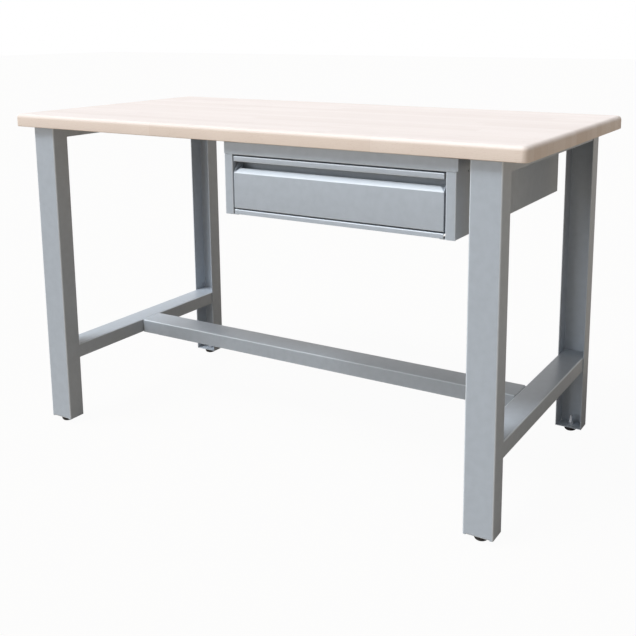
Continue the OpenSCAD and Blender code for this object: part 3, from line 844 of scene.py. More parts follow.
@dataclass
class Assembly:
    """What every sub-assembly shares: the finishes, and how a surface becomes a piece of the scene."""

    palette: Palette

    def piece(self, name: str, shell: Shell, finish: Finish, body: str, edge: float) -> None:
        """Makes an object of a surface, dresses it, fixes it to its body and puts it in its CAD node's place.

        Args:
            name: The piece's name, which is its CAD node's too.
            shell: Its surface, in place.
            finish: Its finish.
            body: The body of the frame that it rides on.
            edge: The width of the softened edges, or 0 for none.
        """
        mesh = bpy.data.meshes.new(name)
        mesh.from_pydata(shell.points.tolist(), [], [face.tolist() for face in shell.faces])
        # The bend attribute feeds the paint's paler bends, partly a painted highlight, and the sloping edge's
        # painted highlight.
        bend = mesh.attributes.new("bend", "FLOAT", "POINT")
        bend.data.foreach_set("value", shell.bend.astype(np.float32))
        mesh.polygons.foreach_set("use_smooth", np.ones(len(mesh.polygons), bool))
        mesh.set_sharp_from_angle(angle=SHARP_ANGLE)
        mesh.materials.append(self.palette.of(finish))
        mesh.validate()
        mesh.update()
        thing = bpy.data.objects.new(name, mesh)
        bpy.context.scene.collection.objects.link(thing)
        if edge > 0:
            soften = thing.modifiers.new("edge", "BEVEL")
            soften.width = edge
            soften.segments = 2
            soften.limit_method = "ANGLE"
            soften.angle_limit = SOFTENED_ANGLE
            soften.harden_normals = True
            soften.use_clamp_overlap = True
        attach(thing, body)
        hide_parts(name)
        log.info("%s: %d points, %d faces, on %s", name, len(shell.points), len(shell.faces), body)

    def pieces(self, shells: dict[str, Shell], finish: Finish, body: str, edge: float) -> None:
        """Makes a piece of every surface, under its name."""
        for name, shell in shells.items():
            self.piece(name, shell, finish, body, edge)

    def keep(self, node: str, finish: Finish) -> None:
        """Gives a CAD node its finish, and leaves its shape alone.

        Args:
            node: The node's name.
            finish: Its finish.
        """
        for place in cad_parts[node].material_slots:
            place.material = self.palette.of(finish)
        log.info("%s: CAD shape kept", node)


def hexagon(flats: float, low: float, high: float, bore: float) -> Shell:
    """Builds a hexagon nut or head along Z, with its corners turned off at both ends.

    At angle t its radius is R = (flats / 2) / cos(t'), with t' the angle from the nearest flat's middle. Its
    faces end (R - r) tan 30 short of the ends, where a cone takes the corners off, down to r = 0.48 flats.

    Args:
        flats: The width across the flats.
        low: The lower end.
        high: The upper end.
        bore: The radius of the hole through it, or 0 for none.

    Returns:
        The closed surface.
    """
    angle = np.linspace(0.0, 2 * np.pi, HEXAGON_STEPS, endpoint=False)
    reach = flats / 2 / np.cos((angle + np.pi / 6) % (np.pi / 3) - np.pi / 6)
    face_r = HEXAGON_FACE_SHARE * flats
    drop = (reach - face_r) * math.tan(math.pi / 6)
    rings = [(face_r, low), (reach, low + drop), (reach, high - drop), (face_r, high)]
    if bore > 0:
        rings = [(bore, low), *rings, (bore, high)]
    grid = [np.stack([r * np.cos(angle), r * np.sin(angle), z + 0 * angle], -1) for r, z in rings]
    return skin(np.stack(grid), caps=bore == 0, ring=bore > 0)


def channel(
    box: Box,
    run: Run,
    opening: Opening,
    sheet: float,
    radius: float,
    levels: Sequence[float] = (),
    keep: Keep | None = None,
    marks: Sequence[Point] = (),
    holes: Sequence[Hole] = (),
) -> Shell:
    """Builds a channel that fills a box.

    Its path is the box's outline in u and v, taken anticlockwise, without the side that is open.

    Args:
        box: The box.
        run: The axis that the channel runs along.
        opening: The side that it leaves open.
        sheet: The sheet's thickness.
        radius: The inner radius of its bends.
        levels: Where it starts, ends or is cut along the run, or the box's ends if none is given.
        keep: Says from a cell's middle whether the sheet is there.
        marks: Extra points of the path, where a cut starts or ends.
        holes: Round holes in the flats.

    Returns:
        The closed surface.
    """
    u, v, w = run.value
    (u0, v0), (u1, v1) = box.low[[u, v]], box.high[[u, v]]
    corners = [(u0, v0), (u1, v0), (u1, v1), (u0, v1)]
    path = corners[opening.value :] + corners[: opening.value]
    ends = levels or (box.low[w], box.high[w])
    return folded_sheet(path, sheet, radius, run, ends, keep, marks, holes)


@dataclass
class Worktop(Assembly):
    """The laminated top: a slab with round corners and softened edges."""

    corner_r: float = 15 * MM
    upper_r: float = 11 * MM
    under_r: float = 2 * MM
    cap_inset: float = 2 * MM

    def slab(self, box: Box) -> Shell:
        """The slab's surface.

        A ring of it at height z is the round-cornered outline moved inwards by d = r - sqrt(r^2 - h^2), with
        h the height into the edge's rounding, so each corner keeps radius corner_r - d.

        Args:
            box: The CAD node's box.

        Returns:
            The closed surface.
        """
        rise, inset = 1 - np.cos(QUARTER), 1 - np.sin(QUARTER)
        upper, under = self.upper_r, self.under_r
        ends = [under + self.cap_inset], [upper + self.cap_inset]
        d = np.concatenate([ends[0], under * inset, upper * inset[::-1], ends[1]])
        lows, highs = box.low[2] + under * rise, box.high[2] - upper * rise[::-1]
        z = np.concatenate([[box.low[2]], lows, highs, [box.high[2]]])
        angle = (QUARTER + np.pi / 2 * np.arange(4)[:, None]).ravel()
        half = (box.high - box.low)[:2] / 2 - self.corner_r
        corners = np.array([(1, 1), (-1, 1), (-1, -1), (1, -1)])
        centre = np.repeat(half * corners, ARC_STEPS + 1, axis=0)
        radius = (self.corner_r - d)[:, None, None]
        ring = centre[None] + radius * np.stack([np.cos(angle), np.sin(angle)], -1)[None] + box.middle[:2]
        height = np.broadcast_to(z[:, None, None], ring.shape[:2] + (1,))
        return skin(np.concatenate([ring, height], -1))

    def build(self) -> None:
        """Makes the top."""
        self.piece("worktop", self.slab(Box.of("worktop")), self.palette.beech, "bench", 0)


@dataclass
class SideFrames(Assembly):
    """Four channel legs with folded foot plates, and the upper and lower rails between them."""

    sheet: float = 2.5 * MM
    rail_sheet: float = 2 * MM
    bend_r: float = 1.5 * MM
    plate_gap: float = 1.2 * MM
    relief_r: float = 3 * MM
    stud_hole_r: float = 5.05 * MM
    bolt_hole_r: float = 4.3 * MM
    bolt_pitch: float = 40 * MM
    screw_hole_r: float = 2.8 * MM
    screw_inset: float = 110 * MM
    edge: float = 0.3 * MM

    def leg(self, box: Box) -> Shell:
        """The front right leg: a channel open to the back, with its foot folded in between two reliefs.

        Args:
            box: The CAD node's box.

        Returns:
            The closed surface.
        """
        (x0, y0, z0), (x1, _, z1) = box.low, box.high
        fold_half = (x1 - x0) / 2 - self.sheet - 2 * self.relief_r
        middle, rise = box.middle[0], self.sheet + self.bend_r
        marks = [(middle - fold_half, y0), (middle + fold_half, y0)]

        def keep(u: np.ndarray, v: np.ndarray, w: np.ndarray) -> np.ndarray:
            """Everything but the web's middle at its foot."""
            return ~((np.abs(u - middle) < fold_half) & (v < y0 + self.sheet) & (w < z0 + rise))

        levels = [z0, z0 + rise, z1]
        post = channel(box, Run.Z, Opening.HIGH_V, self.sheet, self.bend_r, levels, keep, marks)
        return post + self.foot(box, fold_half, rise)

    def foot(self, box: Box, fold_half: float, rise: float) -> Shell:
        """The foot plate: a strip folded in from the web, then a wider plate with the stud's hole in it.

        The outline of half the plate runs from its front middle round one side to its back middle, and back
        round the hole. Its front corner is the piece of the relief's circle that reaches the plate's side.

        Args:
            box: The leg's box.
            fold_half: Half the width of the strip.
            rise: The height at which the strip leaves the web.

        Returns:
            The strip's and the plate's closed surfaces.
        """
        y0, z0, x = box.low[1], box.low[2], box.middle[0]
        front = y0 + self.sheet + self.relief_r
        strip = [(y0, z0 + rise), (y0, z0), (front, z0)]
        fold = folded_sheet(strip, self.sheet, self.bend_r, Run.X, [x - fold_half, x + fold_half])
        wide = (box.high[0] - box.low[0]) / 2 - self.sheet - self.plate_gap
        centre = fold_half + self.relief_r
        stop = math.degrees(math.acos((wide - centre) / self.relief_r))
        back = box.high[1] - self.plate_gap
        corner = arc((centre, front), self.relief_r, 180, stop)
        rim = arc((0.0, box.middle[1]), self.stud_hole_r, 90, -90, HOLE_STEPS)
        half = np.vstack([[(0.0, front)], corner, [(wide, back), (0.0, back)], rim])
        plate = prism(half, Run.Z, z0, z0 + self.sheet)
        return fold + plate.moved((x, 0, 0)) + plate.mirrored(0).moved((x, 0, 0))

    def rail(self, box: Box, holes: Sequence[Hole]) -> Shell:
        """A rail: a channel that opens downwards and runs along Y."""
        return channel(box, Run.Y, Opening.LOW_V, self.rail_sheet, self.bend_r, holes=holes)

    def build(self) -> None:
        """Makes the legs and rails."""
        front = self.leg(Box.of("leg_front_right"))
        lower, upper = Box.of("lower_rail_right"), Box.of("upper_rail_right")
        bolt_at, screw_at = (lower.low[0], lower.middle[2]), (upper.middle[0], upper.high[2])
        reach = upper.high[1] - self.screw_inset
        bolts = [Hole(bolt_at, s * self.bolt_pitch / 2, self.bolt_hole_r) for s in (-1, 1)]
        screws = [Hole(screw_at, s * reach, self.screw_hole_r) for s in (-1, 0, 1)]
        right = {
            "leg_front": front,
            "leg_rear": front.mirrored(1),
            "lower_rail": self.rail(lower, bolts),
            "upper_rail": self.rail(upper, screws),
        }
        for name, shell in right.items():
            pair = {f"{name}_right": shell, f"{name}_left": shell.mirrored(0)}
            self.pieces(pair, self.palette.paint, "bench", self.edge)


@dataclass
class Stretcher(Assembly):
    """The centre stretcher with its folded ends, and the bolts and nuts that hold it."""

    sheet: float = 2 * MM
    bend_r: float = 1.5 * MM
    gap: float = 0.1 * MM
    bolt_pitch: float = 40 * MM
    hole_r: float = 4.3 * MM
    bolt_r: float = 4 * MM
    flats: float = 13 * MM
    head: float = 5.3 * MM
    nut: float = 6.5 * MM
    bolt_past: float = 3 * MM
    bolt_taper: float = 0.6 * MM
    nut_gap: float = 0.05 * MM
    fold_end: float = 0.01 * MM
    edge: float = 0.3 * MM
    fine_edge: float = 0.15 * MM

    def beam(self, box: Box) -> Shell:
        """The stretcher: a channel that opens downwards, with an end plate folded down at each end.

        Args:
            box: The CAD node's box.

        Returns:
            The beam's and both end plates' closed surfaces.
        """
        (x0, y0, z0), (x1, y1, z1) = box.low, box.high
        setback = self.sheet + self.bend_r
        ends = [x0 + setback, x1 - setback]
        body = channel(box, Run.X, Opening.LOW_V, self.sheet, self.bend_r, ends)
        half = (y1 - y0) / 2 - setback - self.gap
        fold = [(x1, z0 + self.sheet), (x1, z1), (x1 - setback - self.fold_end, z1)]
        middle = (z0 + z1) / 2
        holes = [Hole((x1, middle), s * self.bolt_pitch / 2, self.hole_r) for s in (-1, 1)]
        plate = folded_sheet(fold, self.sheet, self.bend_r, Run.Y, [-half, half], holes=holes)
        return body + plate.both(0)

    def build(self) -> None:
        """Makes the stretcher and its bolts and nuts."""
        box, bolts, nuts = Box.of("stretcher"), Box.of("stretcher_bolts"), Box.of("stretcher_nuts")
        self.piece("stretcher", self.beam(box), self.palette.paint, "bench", self.edge)
        places = [(0.0, s * self.bolt_pitch / 2, box.middle[2]) for s in (-1, 1)]
        end, under = bolts.high[0], bolts.high[0] - self.head
        outer, inner = nuts.high[0], nuts.high[0] - self.nut
        tip = inner - self.bolt_past
        taper = [(self.bolt_r - self.bolt_taper, tip), (self.bolt_r, tip + self.bolt_taper)]
        shank = revolved(np.array([*taper, (self.bolt_r, under)]))
        bolt = (hexagon(self.flats, under, end, 0) + shank).turned(Run.X)
        nut = hexagon(self.flats, inner, outer, self.bolt_r + self.nut_gap).turned(Run.X)
        for name, shell in (("stretcher_bolts", bolt), ("stretcher_nuts", nut)):
            every = add_all([shell.moved(place) for place in places]).both(0)
            self.piece(name, every, self.palette.zinc, "bench", self.fine_edge)


@dataclass
class LevellingFeet(Assembly):
    """Four black pads on threaded studs, each with a nut above the foot plate."""

    foot_r: float = 11 * MM
    foot_share: float = 0.6
    flank_steps: int = 12
    dish_r: float = 8 * MM
    dish_slope: float = 1 * MM
    dish_depth: float = 0.8 * MM
    well_r: float = 6 * MM
    well_slope: float = 0.2 * MM
    well_depth: float = 0.6 * MM
    chamfer: float = 1 * MM
    pitch: float = 1.5 * MM
    thread_depth: float = 0.55 * MM
    thread_rows: int = 8
    thread_columns: int = 32
    taper: float = 1.2 * MM
    flats: float = 17 * MM
    nut_hole_r: float = 5.05 * MM
    fine_edge: float = 0.15 * MM

    def pad(self, box: Box) -> Shell:
        """The pad: its flank is the quarter ellipse r = r0 + (r1 - r0) sin t, z = h (1 - cos t).

        Args:
            box: The CAD node's box.

        Returns:
            The closed surface.
        """
        reach, height = (box.high - box.low)[0] / 2, box.high[2]
        t = np.radians(np.linspace(0.0, 90.0, self.flank_steps + 1))
        wider, higher = (reach - self.foot_r) * np.sin(t), self.foot_share * height * (1 - np.cos(t))
        dish = [(self.dish_r - self.dish_slope, self.dish_depth), (self.dish_r, 0.0)]
        flank = np.stack([self.foot_r + wider, higher], axis=1)
        band = [(reach, height - 2 * self.chamfer)]
        rim = arc((reach - self.chamfer, height - self.chamfer), self.chamfer, 0, 90)
        well = [(self.well_r + self.well_slope, height), (self.well_r, height - self.well_depth)]
        return revolved(np.vstack([dish, flank, band, rim, well])).moved((*box.middle[:2], 0.0))

    def stud(self, box: Box) -> Shell:
        """The stud, whose end tapers.

        Its radius is the crest's less the thread's depth times a triangle wave of z / pitch - t / 2 pi.

        Args:
            box: The CAD node's box.

        Returns:
            The closed surface.
        """
        reach, low, high = (box.high - box.low)[0] / 2, box.low[2], box.high[2]
        z = np.append(np.arange(low, high, self.pitch / self.thread_rows), high)[:, None]
        t = np.linspace(0.0, 2 * np.pi, self.thread_columns, endpoint=False)[None]
        wave = np.abs(2 * ((z / self.pitch - t / (2 * np.pi)) % 1.0) - 1)
        r = np.minimum(reach - self.thread_depth * wave, reach - self.taper + (high - z))
        return skin(np.stack([r * np.cos(t), r * np.sin(t), z + 0 * t], -1)).moved((*box.middle[:2], 0.0))

    def build(self) -> None:
        """Makes the four feet and their nuts."""
        box = Box.of("foot_nuts")
        nut = hexagon(self.flats, box.low[2], box.high[2], self.nut_hole_r)
        nuts = []
        for place in ("front_left", "front_right", "rear_left", "rear_right"):
            pad, stud, body = Box.of(f"pad_{place}"), Box.of(f"stud_{place}"), f"foot_{place}"
            self.piece(f"pad_{place}", self.pad(pad), self.palette.plastic, body, 0)
            self.piece(f"stud_{place}", self.stud(stud), self.palette.zinc, body, 0)
            nuts.append(nut.moved((*pad.middle[:2], 0.0)))
        self.piece("foot_nuts", add_all(nuts), self.palette.zinc, "bench", self.fine_edge)


@dataclass
class Housing(Assembly):
    """The drawer's housing: two sides with their front flanges, the rail above, the back and the bottom."""

    sheet: float = 1.5 * MM
    bend_r: float = 1 * MM
    stile: float = 24 * MM
    lip: float = 18 * MM
    gap: float = 0.1 * MM
    turn_past: float = 0.3 * MM
    edge: float = 0.25 * MM
    screw_share: float = 0.12
    screw_hole_r: float = 2.8 * MM
    spare_hole_r: float = 2.5 * MM
    spare_hole_y: float = 67 * MM
    spare_hole_drop: float = 37 * MM

    def __post_init__(self) -> None:
        """Reads the housing's places from the frame."""
        self.side = Box.of("housing_side_right")
        self.rail = Box.of("housing_top_rail")
        self.middle = (Box.of("housing_side_left").low[0] + self.side.high[0]) / 2

    def side_panel(self) -> Shell:
        """The right side: a channel open towards the drawer, and a stile with its lip and its return.

        Returns:
            The channel's and the stile's closed surfaces.
        """
        (x0, y0, z0), (x1, y1, z1) = self.side.low, self.side.high
        screw_at = ((x0 + x1 - self.sheet) / 2, z1)
        holes = [Hole(screw_at, y, self.screw_hole_r) for y in self.side.screw_places(self.screw_share)]
        holes.append(Hole((x1, z1 - self.spare_hole_drop), y0 + self.spare_hole_y, self.spare_hole_r))
        ends = [y0 + self.sheet + self.gap, y1]
        web = channel(self.side, Run.Y, Opening.LOW_U, self.sheet, self.bend_r, ends, holes=holes)
        open_x = x1 - self.stile
        turn = y0 + self.sheet + self.bend_r + self.turn_past
        front = [(open_x, y0 + self.lip), (open_x, y0), (x1, y0), (x1, turn)]
        stile = folded_sheet(front, self.sheet, self.bend_r, Run.Z, [z0, self.rail.low[2] - self.gap])
        return web + stile

    def top_rail(self) -> Shell:
        """The rail above the drawer, whose bends and flanges stop short of the sides.

        Returns:
            The closed surface.
        """
        y0, y1, z0, z1 = self.rail.low[1], self.rail.high[1], self.rail.low[2], self.rail.high[2]
        setback = self.sheet + self.bend_r
        low_half = self.side.high[0] - self.sheet - self.gap - self.middle
        high_half = self.side.low[0] - self.gap - self.middle

        def keep(u: np.ndarray, v: np.ndarray, w: np.ndarray) -> np.ndarray:
            """The face for its whole length, the lower flange to the sides, the upper to their flanges."""
            face = (u < y0 + self.sheet) & (v > z0 + setback) & (v < z1 - setback)
            out = np.abs(w - self.middle)
            return face | ((out < low_half) & (v < (z0 + z1) / 2)) | (out < high_half)

        path = [(y1, z1), (y0, z1), (y0, z0), (y1, z0)]
        cuts = [self.middle + s for s in (-low_half, -high_half, high_half, low_half)]
        levels = [self.rail.low[0], *cuts, self.rail.high[0]]
        return folded_sheet(path, self.sheet, self.bend_r, Run.X, levels, keep)

    def build(self) -> None:
        """Makes the housing."""
        side, back, bottom = self.side_panel(), Box.of("housing_back"), Box.of("housing_bottom")
        shells = {
            "housing_side_right": side,
            "housing_side_left": side.mirrored(0, self.middle),
            "housing_top_rail": self.top_rail(),
            "housing_back": channel(back, Run.Z, Opening.LOW_V, self.sheet, self.bend_r),
            "housing_bottom": channel(bottom, Run.X, Opening.LOW_V, self.sheet, self.bend_r),
        }
        self.pieces(shells, self.palette.paint, "bench", self.edge)


@dataclass
class PanScrews(Assembly):
    """The pan-head wood screws that hold the side frames and the housing under the top."""

    radius: float = 2.5 * MM
    head_r: float = 5.5 * MM
    head_h: float = 3 * MM
    recess_r: float = 1.4 * MM
    recess_depth: float = 1.4 * MM
    recess_foot: Point = (1.2 * MM, 1.2 * MM)
    tip_r: float = 0.3 * MM
    tip_h: float = 4 * MM
    screw_inset: float = SideFrames.screw_inset
    screw_share: float = Housing.screw_share

    def screw(self, box: Box) -> Shell:
        """A screw from its head's low end: the head is a quarter ellipse, with a small dished recess.

        Args:
            box: The box of the row that it belongs to, for its height.

        Returns:
            The closed surface, standing on the origin's axis.
        """
        low, high = box.low[2], box.high[2]
        wider, higher = (self.head_r - self.recess_r) * np.sin(QUARTER), self.head_h * (1 - np.cos(QUARTER))
        dome = np.stack([self.recess_r + wider, low + higher], axis=1)
        foot_r, foot_h = self.recess_foot
        recess = [(self.tip_r, low + self.recess_depth), (foot_r, low + foot_h)]
        shank = [(self.radius, low + self.head_h), (self.radius, high - self.tip_h), (self.tip_r, high)]
        return revolved(np.vstack([recess, dome, shank]), steps=32)

    def build(self) -> None:
        """Makes both sets of screws."""
        frames, housing = Box.of("worktop_screws"), Box.of("housing_screws")
        rail, side = Box.of("upper_rail_right"), Box.of("housing_side_right")
        reach = rail.high[1] - self.screw_inset
        at_frames = [(rail.middle[0], s * reach, 0.0) for s in (-1, 0, 1)]
        x = housing.high[0] - self.head_r
        at_housing = [(x, y, 0.0) for y in side.screw_places(self.screw_share)]
        for name, box, places, about in (
            ("worktop_screws", frames, at_frames, 0.0),
            ("housing_screws", housing, at_housing, housing.middle[0]),
        ):
            screw = self.screw(box)
            row = add_all([screw.moved(place) for place in places])
            self.piece(name, row.both(0, about), self.palette.zinc, "bench", 0)


@dataclass
class DrawerSlides(Assembly):
    """The full-extension ball slides: runner, outer, middle and inner member, and two ball cages a side."""

    sheet: float = 1.2 * MM
    runner_sheet: float = 1.5 * MM
    runner_bend_r: float = 1 * MM
    screw_share: float = 0.06
    hole_r: float = 2.3 * MM
    fine_edge: float = 0.15 * MM

    def member(self, name: str, opening: Opening, drilled: bool, sheet: float, radius: float) -> Shell:
        """A member on the drawer's right: a channel along Y, with the screws' holes in its web.

        Args:
            name: The member's name.
            opening: The side that it is open on.
            drilled: Whether its web has holes.
            sheet: Its thickness.
            radius: The inner radius of its bends.

        Returns:
            The closed surface.
        """
        box = Box.of(f"{name}_right")
        web = box.low[0] if opening is Opening.HIGH_U else box.high[0]
        ys = Box.of("outer_slide_right").screw_places(self.screw_share) if drilled else []
        holes = [Hole((web, box.middle[2]), y, self.hole_r) for y in ys]
        return channel(box, Run.Y, opening, sheet, radius, holes=holes)

    def build(self) -> None:
        """Makes both pairs of slides and dresses their cages and screws."""
        about = Box.of("drawer_face").middle[0]
        inwards, outwards, bend_r = Opening.LOW_U, Opening.HIGH_U, self.sheet / 2
        members = (
            ("runner", "bench", outwards, True, self.runner_sheet, self.runner_bend_r),
            ("outer_slide", "bench", inwards, True, self.sheet, bend_r),
            ("middle_slide", "middle", inwards, False, self.sheet, bend_r),
            ("inner_slide", "drawer", outwards, True, self.sheet, bend_r),
        )
        for name, body, opening, drilled, sheet, radius in members:
            shell = self.member(name, opening, drilled, sheet, radius)
            for hand, made in (("right", shell), ("left", shell.mirrored(0, about))):
                carrier = f"middle_{hand}" if body == "middle" else body
                self.piece(f"{name}_{hand}", made, self.palette.zinc, carrier, self.fine_edge)
        cages = [f"{cage}_{hand}" for hand in ("left", "right") for cage in ("outer_cage", "inner_cage")]
        for node in ("outer_slide_screws", "inner_slide_screws", *cages):
            self.keep(node, self.palette.zinc)


@dataclass
class Drawer(Assembly):
    """The drawer: its face with sloping upper edge and corners, its grip wall, end caps, tray and back."""

    sheet: float = 1.2 * MM
    bend_r: float = 1 * MM
    gap: float = 0.1 * MM
    skim: float = 0.05 * MM
    edge: float = 0.2 * MM
    # How strongly the sloping edge is painted pale, as a painted highlight.
    sloping_highlight: float = 0.8
    bevel: float = 12 * MM
    hem: float = 6 * MM
    lip_h: float = 13 * MM
    lip_return: float = 12 * MM
    corner_w: float = 15 * MM
    corner_rise: float = 3 * MM
    cap_set: float = 31 * MM
    cap_clear: float = 0.8 * MM
    cap_tip: Point = (0.4 * MM, 0.1 * MM)
    tray_hem: float = 8 * MM
    screw_share: float = DrawerSlides.screw_share
    hole_r: float = DrawerSlides.hole_r

    def __post_init__(self) -> None:
        """Reads the drawer's places from the frame."""
        self.face = Box.of("drawer_face")
        self.grip = Box.of("drawer_grip")
        self.middle = self.face.middle[0]
        self.front, self.wall = self.face.low[1], self.face.high[1]
        self.foot, self.crest = self.face.low[2], self.face.high[2] - self.corner_rise
        self.edge_z = self.crest - self.bevel
        self.lip_z = self.grip.high[2] - self.lip_h
        self.half = (self.face.high[0] - self.face.low[0]) / 2
        depth = self.wall - self.sheet - self.front
        self.slope = (self.bevel + self.corner_rise) / depth
        back, side = (0.0, depth, depth * self.slope), (-self.corner_w, self.bevel, self.bevel)
        self.tips = np.array([(0.0, 0.0, 0.0), back, side])
        self.normal = np.cross(self.tips[1], self.tips[2])

    def face_panel(self) -> Shell:
        """The face: a flat panel with a sloping edge and hem above, a return below and a cheek at each end.

        The panel's ends are drawn inwards along X on to the plane through each corner's three tips, by
        (ny y + nz z) / nx with n the plane's normal, wherever they stand above it. The sloping edge carries a
        painted highlight, almost as light as a bend.

        Returns:
            The panel's, cheeks' and corners' closed surfaces.
        """
        slant = self.hem / math.sqrt(2)
        ridge = (self.front + self.bevel, self.crest)
        path = [
            (ridge[0] + slant, ridge[1] - slant),
            ridge,
            (self.front, self.edge_z),
            (self.front, self.foot),
            (self.wall, self.foot),
        ]
        ends = [self.middle - self.half, self.middle + self.half]
        panel = folded_sheet(path, self.sheet, self.bend_r, Run.X, ends)
        out = panel.points - (self.middle, self.front, self.edge_z)
        inwards = np.maximum(out[:, 1:] @ self.normal[1:] / self.normal[0], 0.0)
        panel.points[:, 0] -= np.sign(out[:, 0]) * inwards
        # Painted highlight: the sloping edge gets a bend weight, so the paint shows it almost as pale as a
        # bend.
        sloping = (out[:, 2] > 0.0) & (out[:, 1] < self.bevel)
        panel.bend[:] = np.maximum(panel.bend, self.sloping_highlight * sloping)
        inner, low = self.front + self.sheet + self.skim, self.foot + self.sheet + self.skim
        top = self.edge_z - self.skim
        high = top + self.slope * (self.wall - self.front)
        cheek = self.end_plate([(inner, low), (self.wall, low), (self.wall, high), (inner, top)])
        return panel + (cheek + self.corner()).both(0, self.middle)

    def end_plate(self, outline: Sequence[Point]) -> Shell:
        """A plate one sheet thick with its outer side at the right end of the drawer's front."""
        end = self.middle + self.half
        return prism(np.array(outline), Run.X, end - self.sheet, end)

    def corner(self) -> Shell:
        """The right turned-down corner: a triangular plate whose upper side lies in the corner's plane.

        Returns:
            The closed surface.
        """
        up = self.normal / np.linalg.norm(self.normal)
        tips = self.tips * np.array([[1.0], [1 - self.sheet / (self.wall - self.front)], [1.0]])
        plate = skin(np.stack([tips - self.sheet * up, tips + self.skim * up]))
        return plate.moved((self.middle + self.half, self.front, self.edge_z))

    def grip_panel(self) -> Shell:
        """The inner front wall, folded forwards over the finger slot to a lip with a return.

        Returns:
            The closed surface.
        """
        foot, top = self.grip.low[2], self.grip.high[2]
        path = [
            (self.wall, foot),
            (self.wall, top),
            (self.front, top),
            (self.front, self.lip_z),
            (self.front + self.lip_return, self.lip_z),
        ]
        notch = self.half - self.sheet - self.gap
        clear = self.crest + self.corner_rise + self.gap

        def keep(u: np.ndarray, v: np.ndarray, w: np.ndarray) -> np.ndarray:
            """The wall leaves room for the face's cheeks."""
            return (np.abs(w - self.middle) < notch) | (v > clear) | (u < self.wall - 2 * self.sheet)

        levels = [self.middle + s for s in (-self.half, -notch, notch, self.half)]
        marks = [(self.wall, clear)]
        return folded_sheet(path, self.sheet, self.bend_r, Run.X, levels, keep, marks)

    def end_cap(self) -> Shell:
        """The plate at the right end of the finger slot, whose front edge leans back above the corner.

        Returns:
            The closed surface.
        """
        back, top = self.wall - self.sheet - self.gap, self.grip.high[2] - self.sheet - self.gap
        clear = self.edge_z + self.cap_clear
        outline = [
            (self.front + self.cap_tip[0], clear + self.cap_tip[1]),
            (back, clear + self.slope * (back - self.front)),
            (back, top),
            (self.front + self.cap_set, top),
        ]
        return self.end_plate(outline)

    def tray_panel(self, box: Box) -> Shell:
        """The tray: floor and sides in one sheet, with a hem along each side and the slides' screw holes.

        Args:
            box: The CAD node's box.

        Returns:
            The closed surface.
        """
        (x0, y0, z0), (x1, y1, z1) = box.low, box.high
        hem = self.tray_hem
        path = [(x0 + hem, z1), (x0, z1), (x0, z0), (x1, z0), (x1, z1), (x1 - hem, z1)]
        slide = Box.of("inner_slide_right")
        ys = slide.screw_places(self.screw_share)
        holes = [Hole((x, slide.middle[2]), y, self.hole_r) for x in (x0, x1) for y in ys]
        return folded_sheet(path, self.sheet, self.bend_r, Run.Y, [y0, y1], holes=holes)

    def build(self) -> None:
        """Makes the drawer."""
        tray, back = Box.of("drawer_tray"), Box.of("drawer_back")
        shells = {
            "drawer_face": self.face_panel(),
            "drawer_grip": self.grip_panel(),
            "drawer_end_caps": self.end_cap().both(0, self.middle),
            "drawer_tray": self.tray_panel(tray),
            "drawer_back": channel(back, Run.Z, Opening.LOW_V, self.sheet, self.bend_r),
        }
        self.pieces(shells, self.palette.paint, "drawer", self.edge)


# ---- Studio ----


@dataclass(frozen=True)
class Lamp:
    """A distant lamp.

    Attributes:
        name: The lamp's name.
        strength: Its strength.
        spread: The angle of its disc, in degrees.
        towards: Its direction from the object.
        colour: The colour of its light.
    """

    name: str
    strength: float
    spread: float
    towards: Triple
    colour: Triple = (0.95, 1.0, 1.05)

    def hang(self) -> None:
        """Adds the lamp to the scene."""
        data = bpy.data.lights.new(self.name, "SUN")
        data.energy = self.strength
        data.angle = math.radians(self.spread)
        data.color = self.colour
        lamp = bpy.data.objects.new(self.name, data)
        x, y, z = self.towards
        lamp.rotation_euler = (math.atan2(math.hypot(x, y), z), 0.0, math.atan2(x, -y))
        bpy.context.scene.collection.objects.link(lamp)


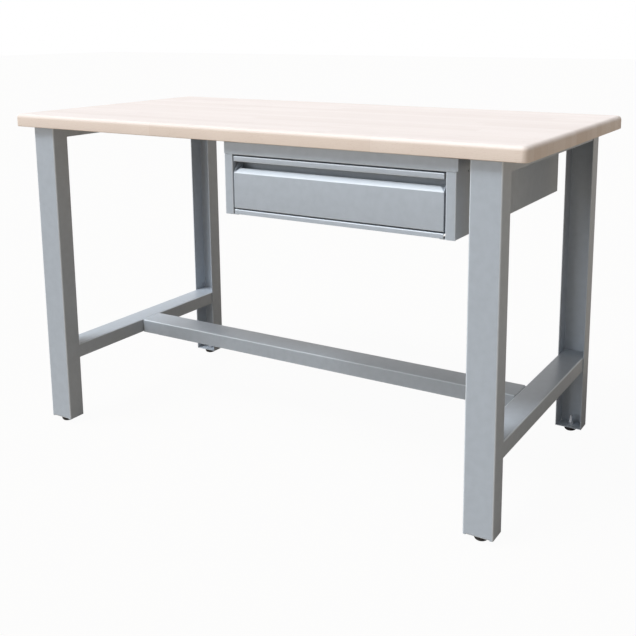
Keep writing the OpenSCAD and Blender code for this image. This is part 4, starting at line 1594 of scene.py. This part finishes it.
@dataclass
class Studio:
    """A pale floor, a white surround, soft lamps from above, the left and the front, and the camera."""

    eye: Triple = (1.3699, -2.1492, 1.1440)
    turn: float = 30.29
    dip: float = 10.64
    roll: float = -0.20
    focal: float = 927.61
    centre: Point = (348.0, 200.0)
    image: int = 636
    sensor: float = 36.0
    clip: Point = (0.05, 100.0)
    lamps: tuple[Lamp, ...] = (
        Lamp("key", 1.35, 16.0, (-0.25, -0.46, 0.88)),
        Lamp("sheen", 1.3, 24.0, (-0.5, -0.35, 0.82)),
        Lamp("wide", 0.35, 90.0, (-0.2, -0.6, 0.7)),
        Lamp("fill", 0.8, 30.0, (-0.7, -1.0, 0.1)),
    )
    sky: float = 0.25
    sky_colour: Triple = (1.0, 0.965, 0.93)
    ground: Triple = (0.44, 0.385, 0.32)
    ground_reach: float = 30.0
    glow: float = 0.96

    def camera(self) -> None:
        """Places the camera, with a small shift for the framing."""
        data = bpy.data.cameras.new("camera")
        data.sensor_width = self.sensor
        data.lens = self.focal / self.image * self.sensor
        half = self.image / 2
        data.shift_x = (half - self.centre[0]) / self.image
        data.shift_y = (self.centre[1] - half) / self.image
        data.clip_start, data.clip_end = self.clip
        eye = bpy.data.objects.new("camera", data)
        eye.location = self.eye
        eye.rotation_euler = (math.radians(90 - self.dip), -math.radians(self.roll), math.radians(self.turn))
        bpy.context.scene.collection.objects.link(eye)
        bpy.context.scene.camera = eye

    def surround(self) -> None:
        """Lights the scene with a soft sky that a camera or a reflection sees as white."""
        world = bpy.data.worlds.new("surround")
        g = Graph(world, "Background")
        g.feed(g.shader, {"Color": (*self.sky_colour, 1.0), "Strength": self.sky})
        white = g.add("ShaderNodeBackground", {"Color": (1.0, 1.0, 1.0, 1.0), "Strength": 1.0})
        ray = g.add("ShaderNodeLightPath").outputs
        glassy = g.math("MAXIMUM", ray["Is Glossy Ray"], ray["Is Transmission Ray"])
        seen = g.math("MAXIMUM", ray["Is Camera Ray"], glassy)
        mix = g.add("ShaderNodeMixShader", {0: seen, 1: g.shader.outputs[0], 2: white.outputs[0]})
        g.feed(g.tree.nodes["World Output"], {0: mix.outputs[0]})
        bpy.context.scene.world = world

    def floor(self) -> None:
        """Lays a wide pale floor that keeps the object's soft shadow."""
        mesh = bpy.data.meshes.new("floor")
        corners = self.ground_reach * np.array([(-1, -1, 0), (1, -1, 0), (1, 1, 0), (-1, 1, 0)])
        mesh.from_pydata(corners.tolist(), [], [(0, 1, 2, 3)])
        g = Graph(bpy.data.materials.new("floor"))
        matt = {"Base Color": (*self.ground, 1.0), "Roughness": 0.9, "Specular IOR Level": 0.1}
        g.feed(g.shader, matt)
        bright = g.add("ShaderNodeEmission")
        ray = g.add("ShaderNodeLightPath").outputs
        share = g.math("MULTIPLY", ray["Is Camera Ray"], self.glow)
        mix = g.add("ShaderNodeMixShader", {0: share, 1: g.shader.outputs[0], 2: bright.outputs[0]})
        g.feed(g.tree.nodes["Material Output"], {"Surface": mix.outputs[0]})
        mesh.materials.append(g.block)
        plane = bpy.data.objects.new("floor", mesh)
        bpy.context.scene.collection.objects.link(plane)

    def build(self) -> None:
        """Sets up the whole studio."""
        self.camera()
        for lamp in self.lamps:
            lamp.hang()
        self.surround()
        self.floor()
        bpy.context.scene.view_settings.view_transform = "Standard"


def main() -> None:
    """Builds the studio and every sub-assembly."""
    logging.basicConfig(level=logging.INFO, format="%(name)s: %(message)s")
    Studio().build()
    palette = Palette()
    for assembly in (Worktop, SideFrames, Stretcher, LevellingFeet, Housing, PanScrews, DrawerSlides, Drawer):
        log.info("building %s", assembly.__name__)
        assembly(palette).build()


if __name__ == "__main__":
    main()
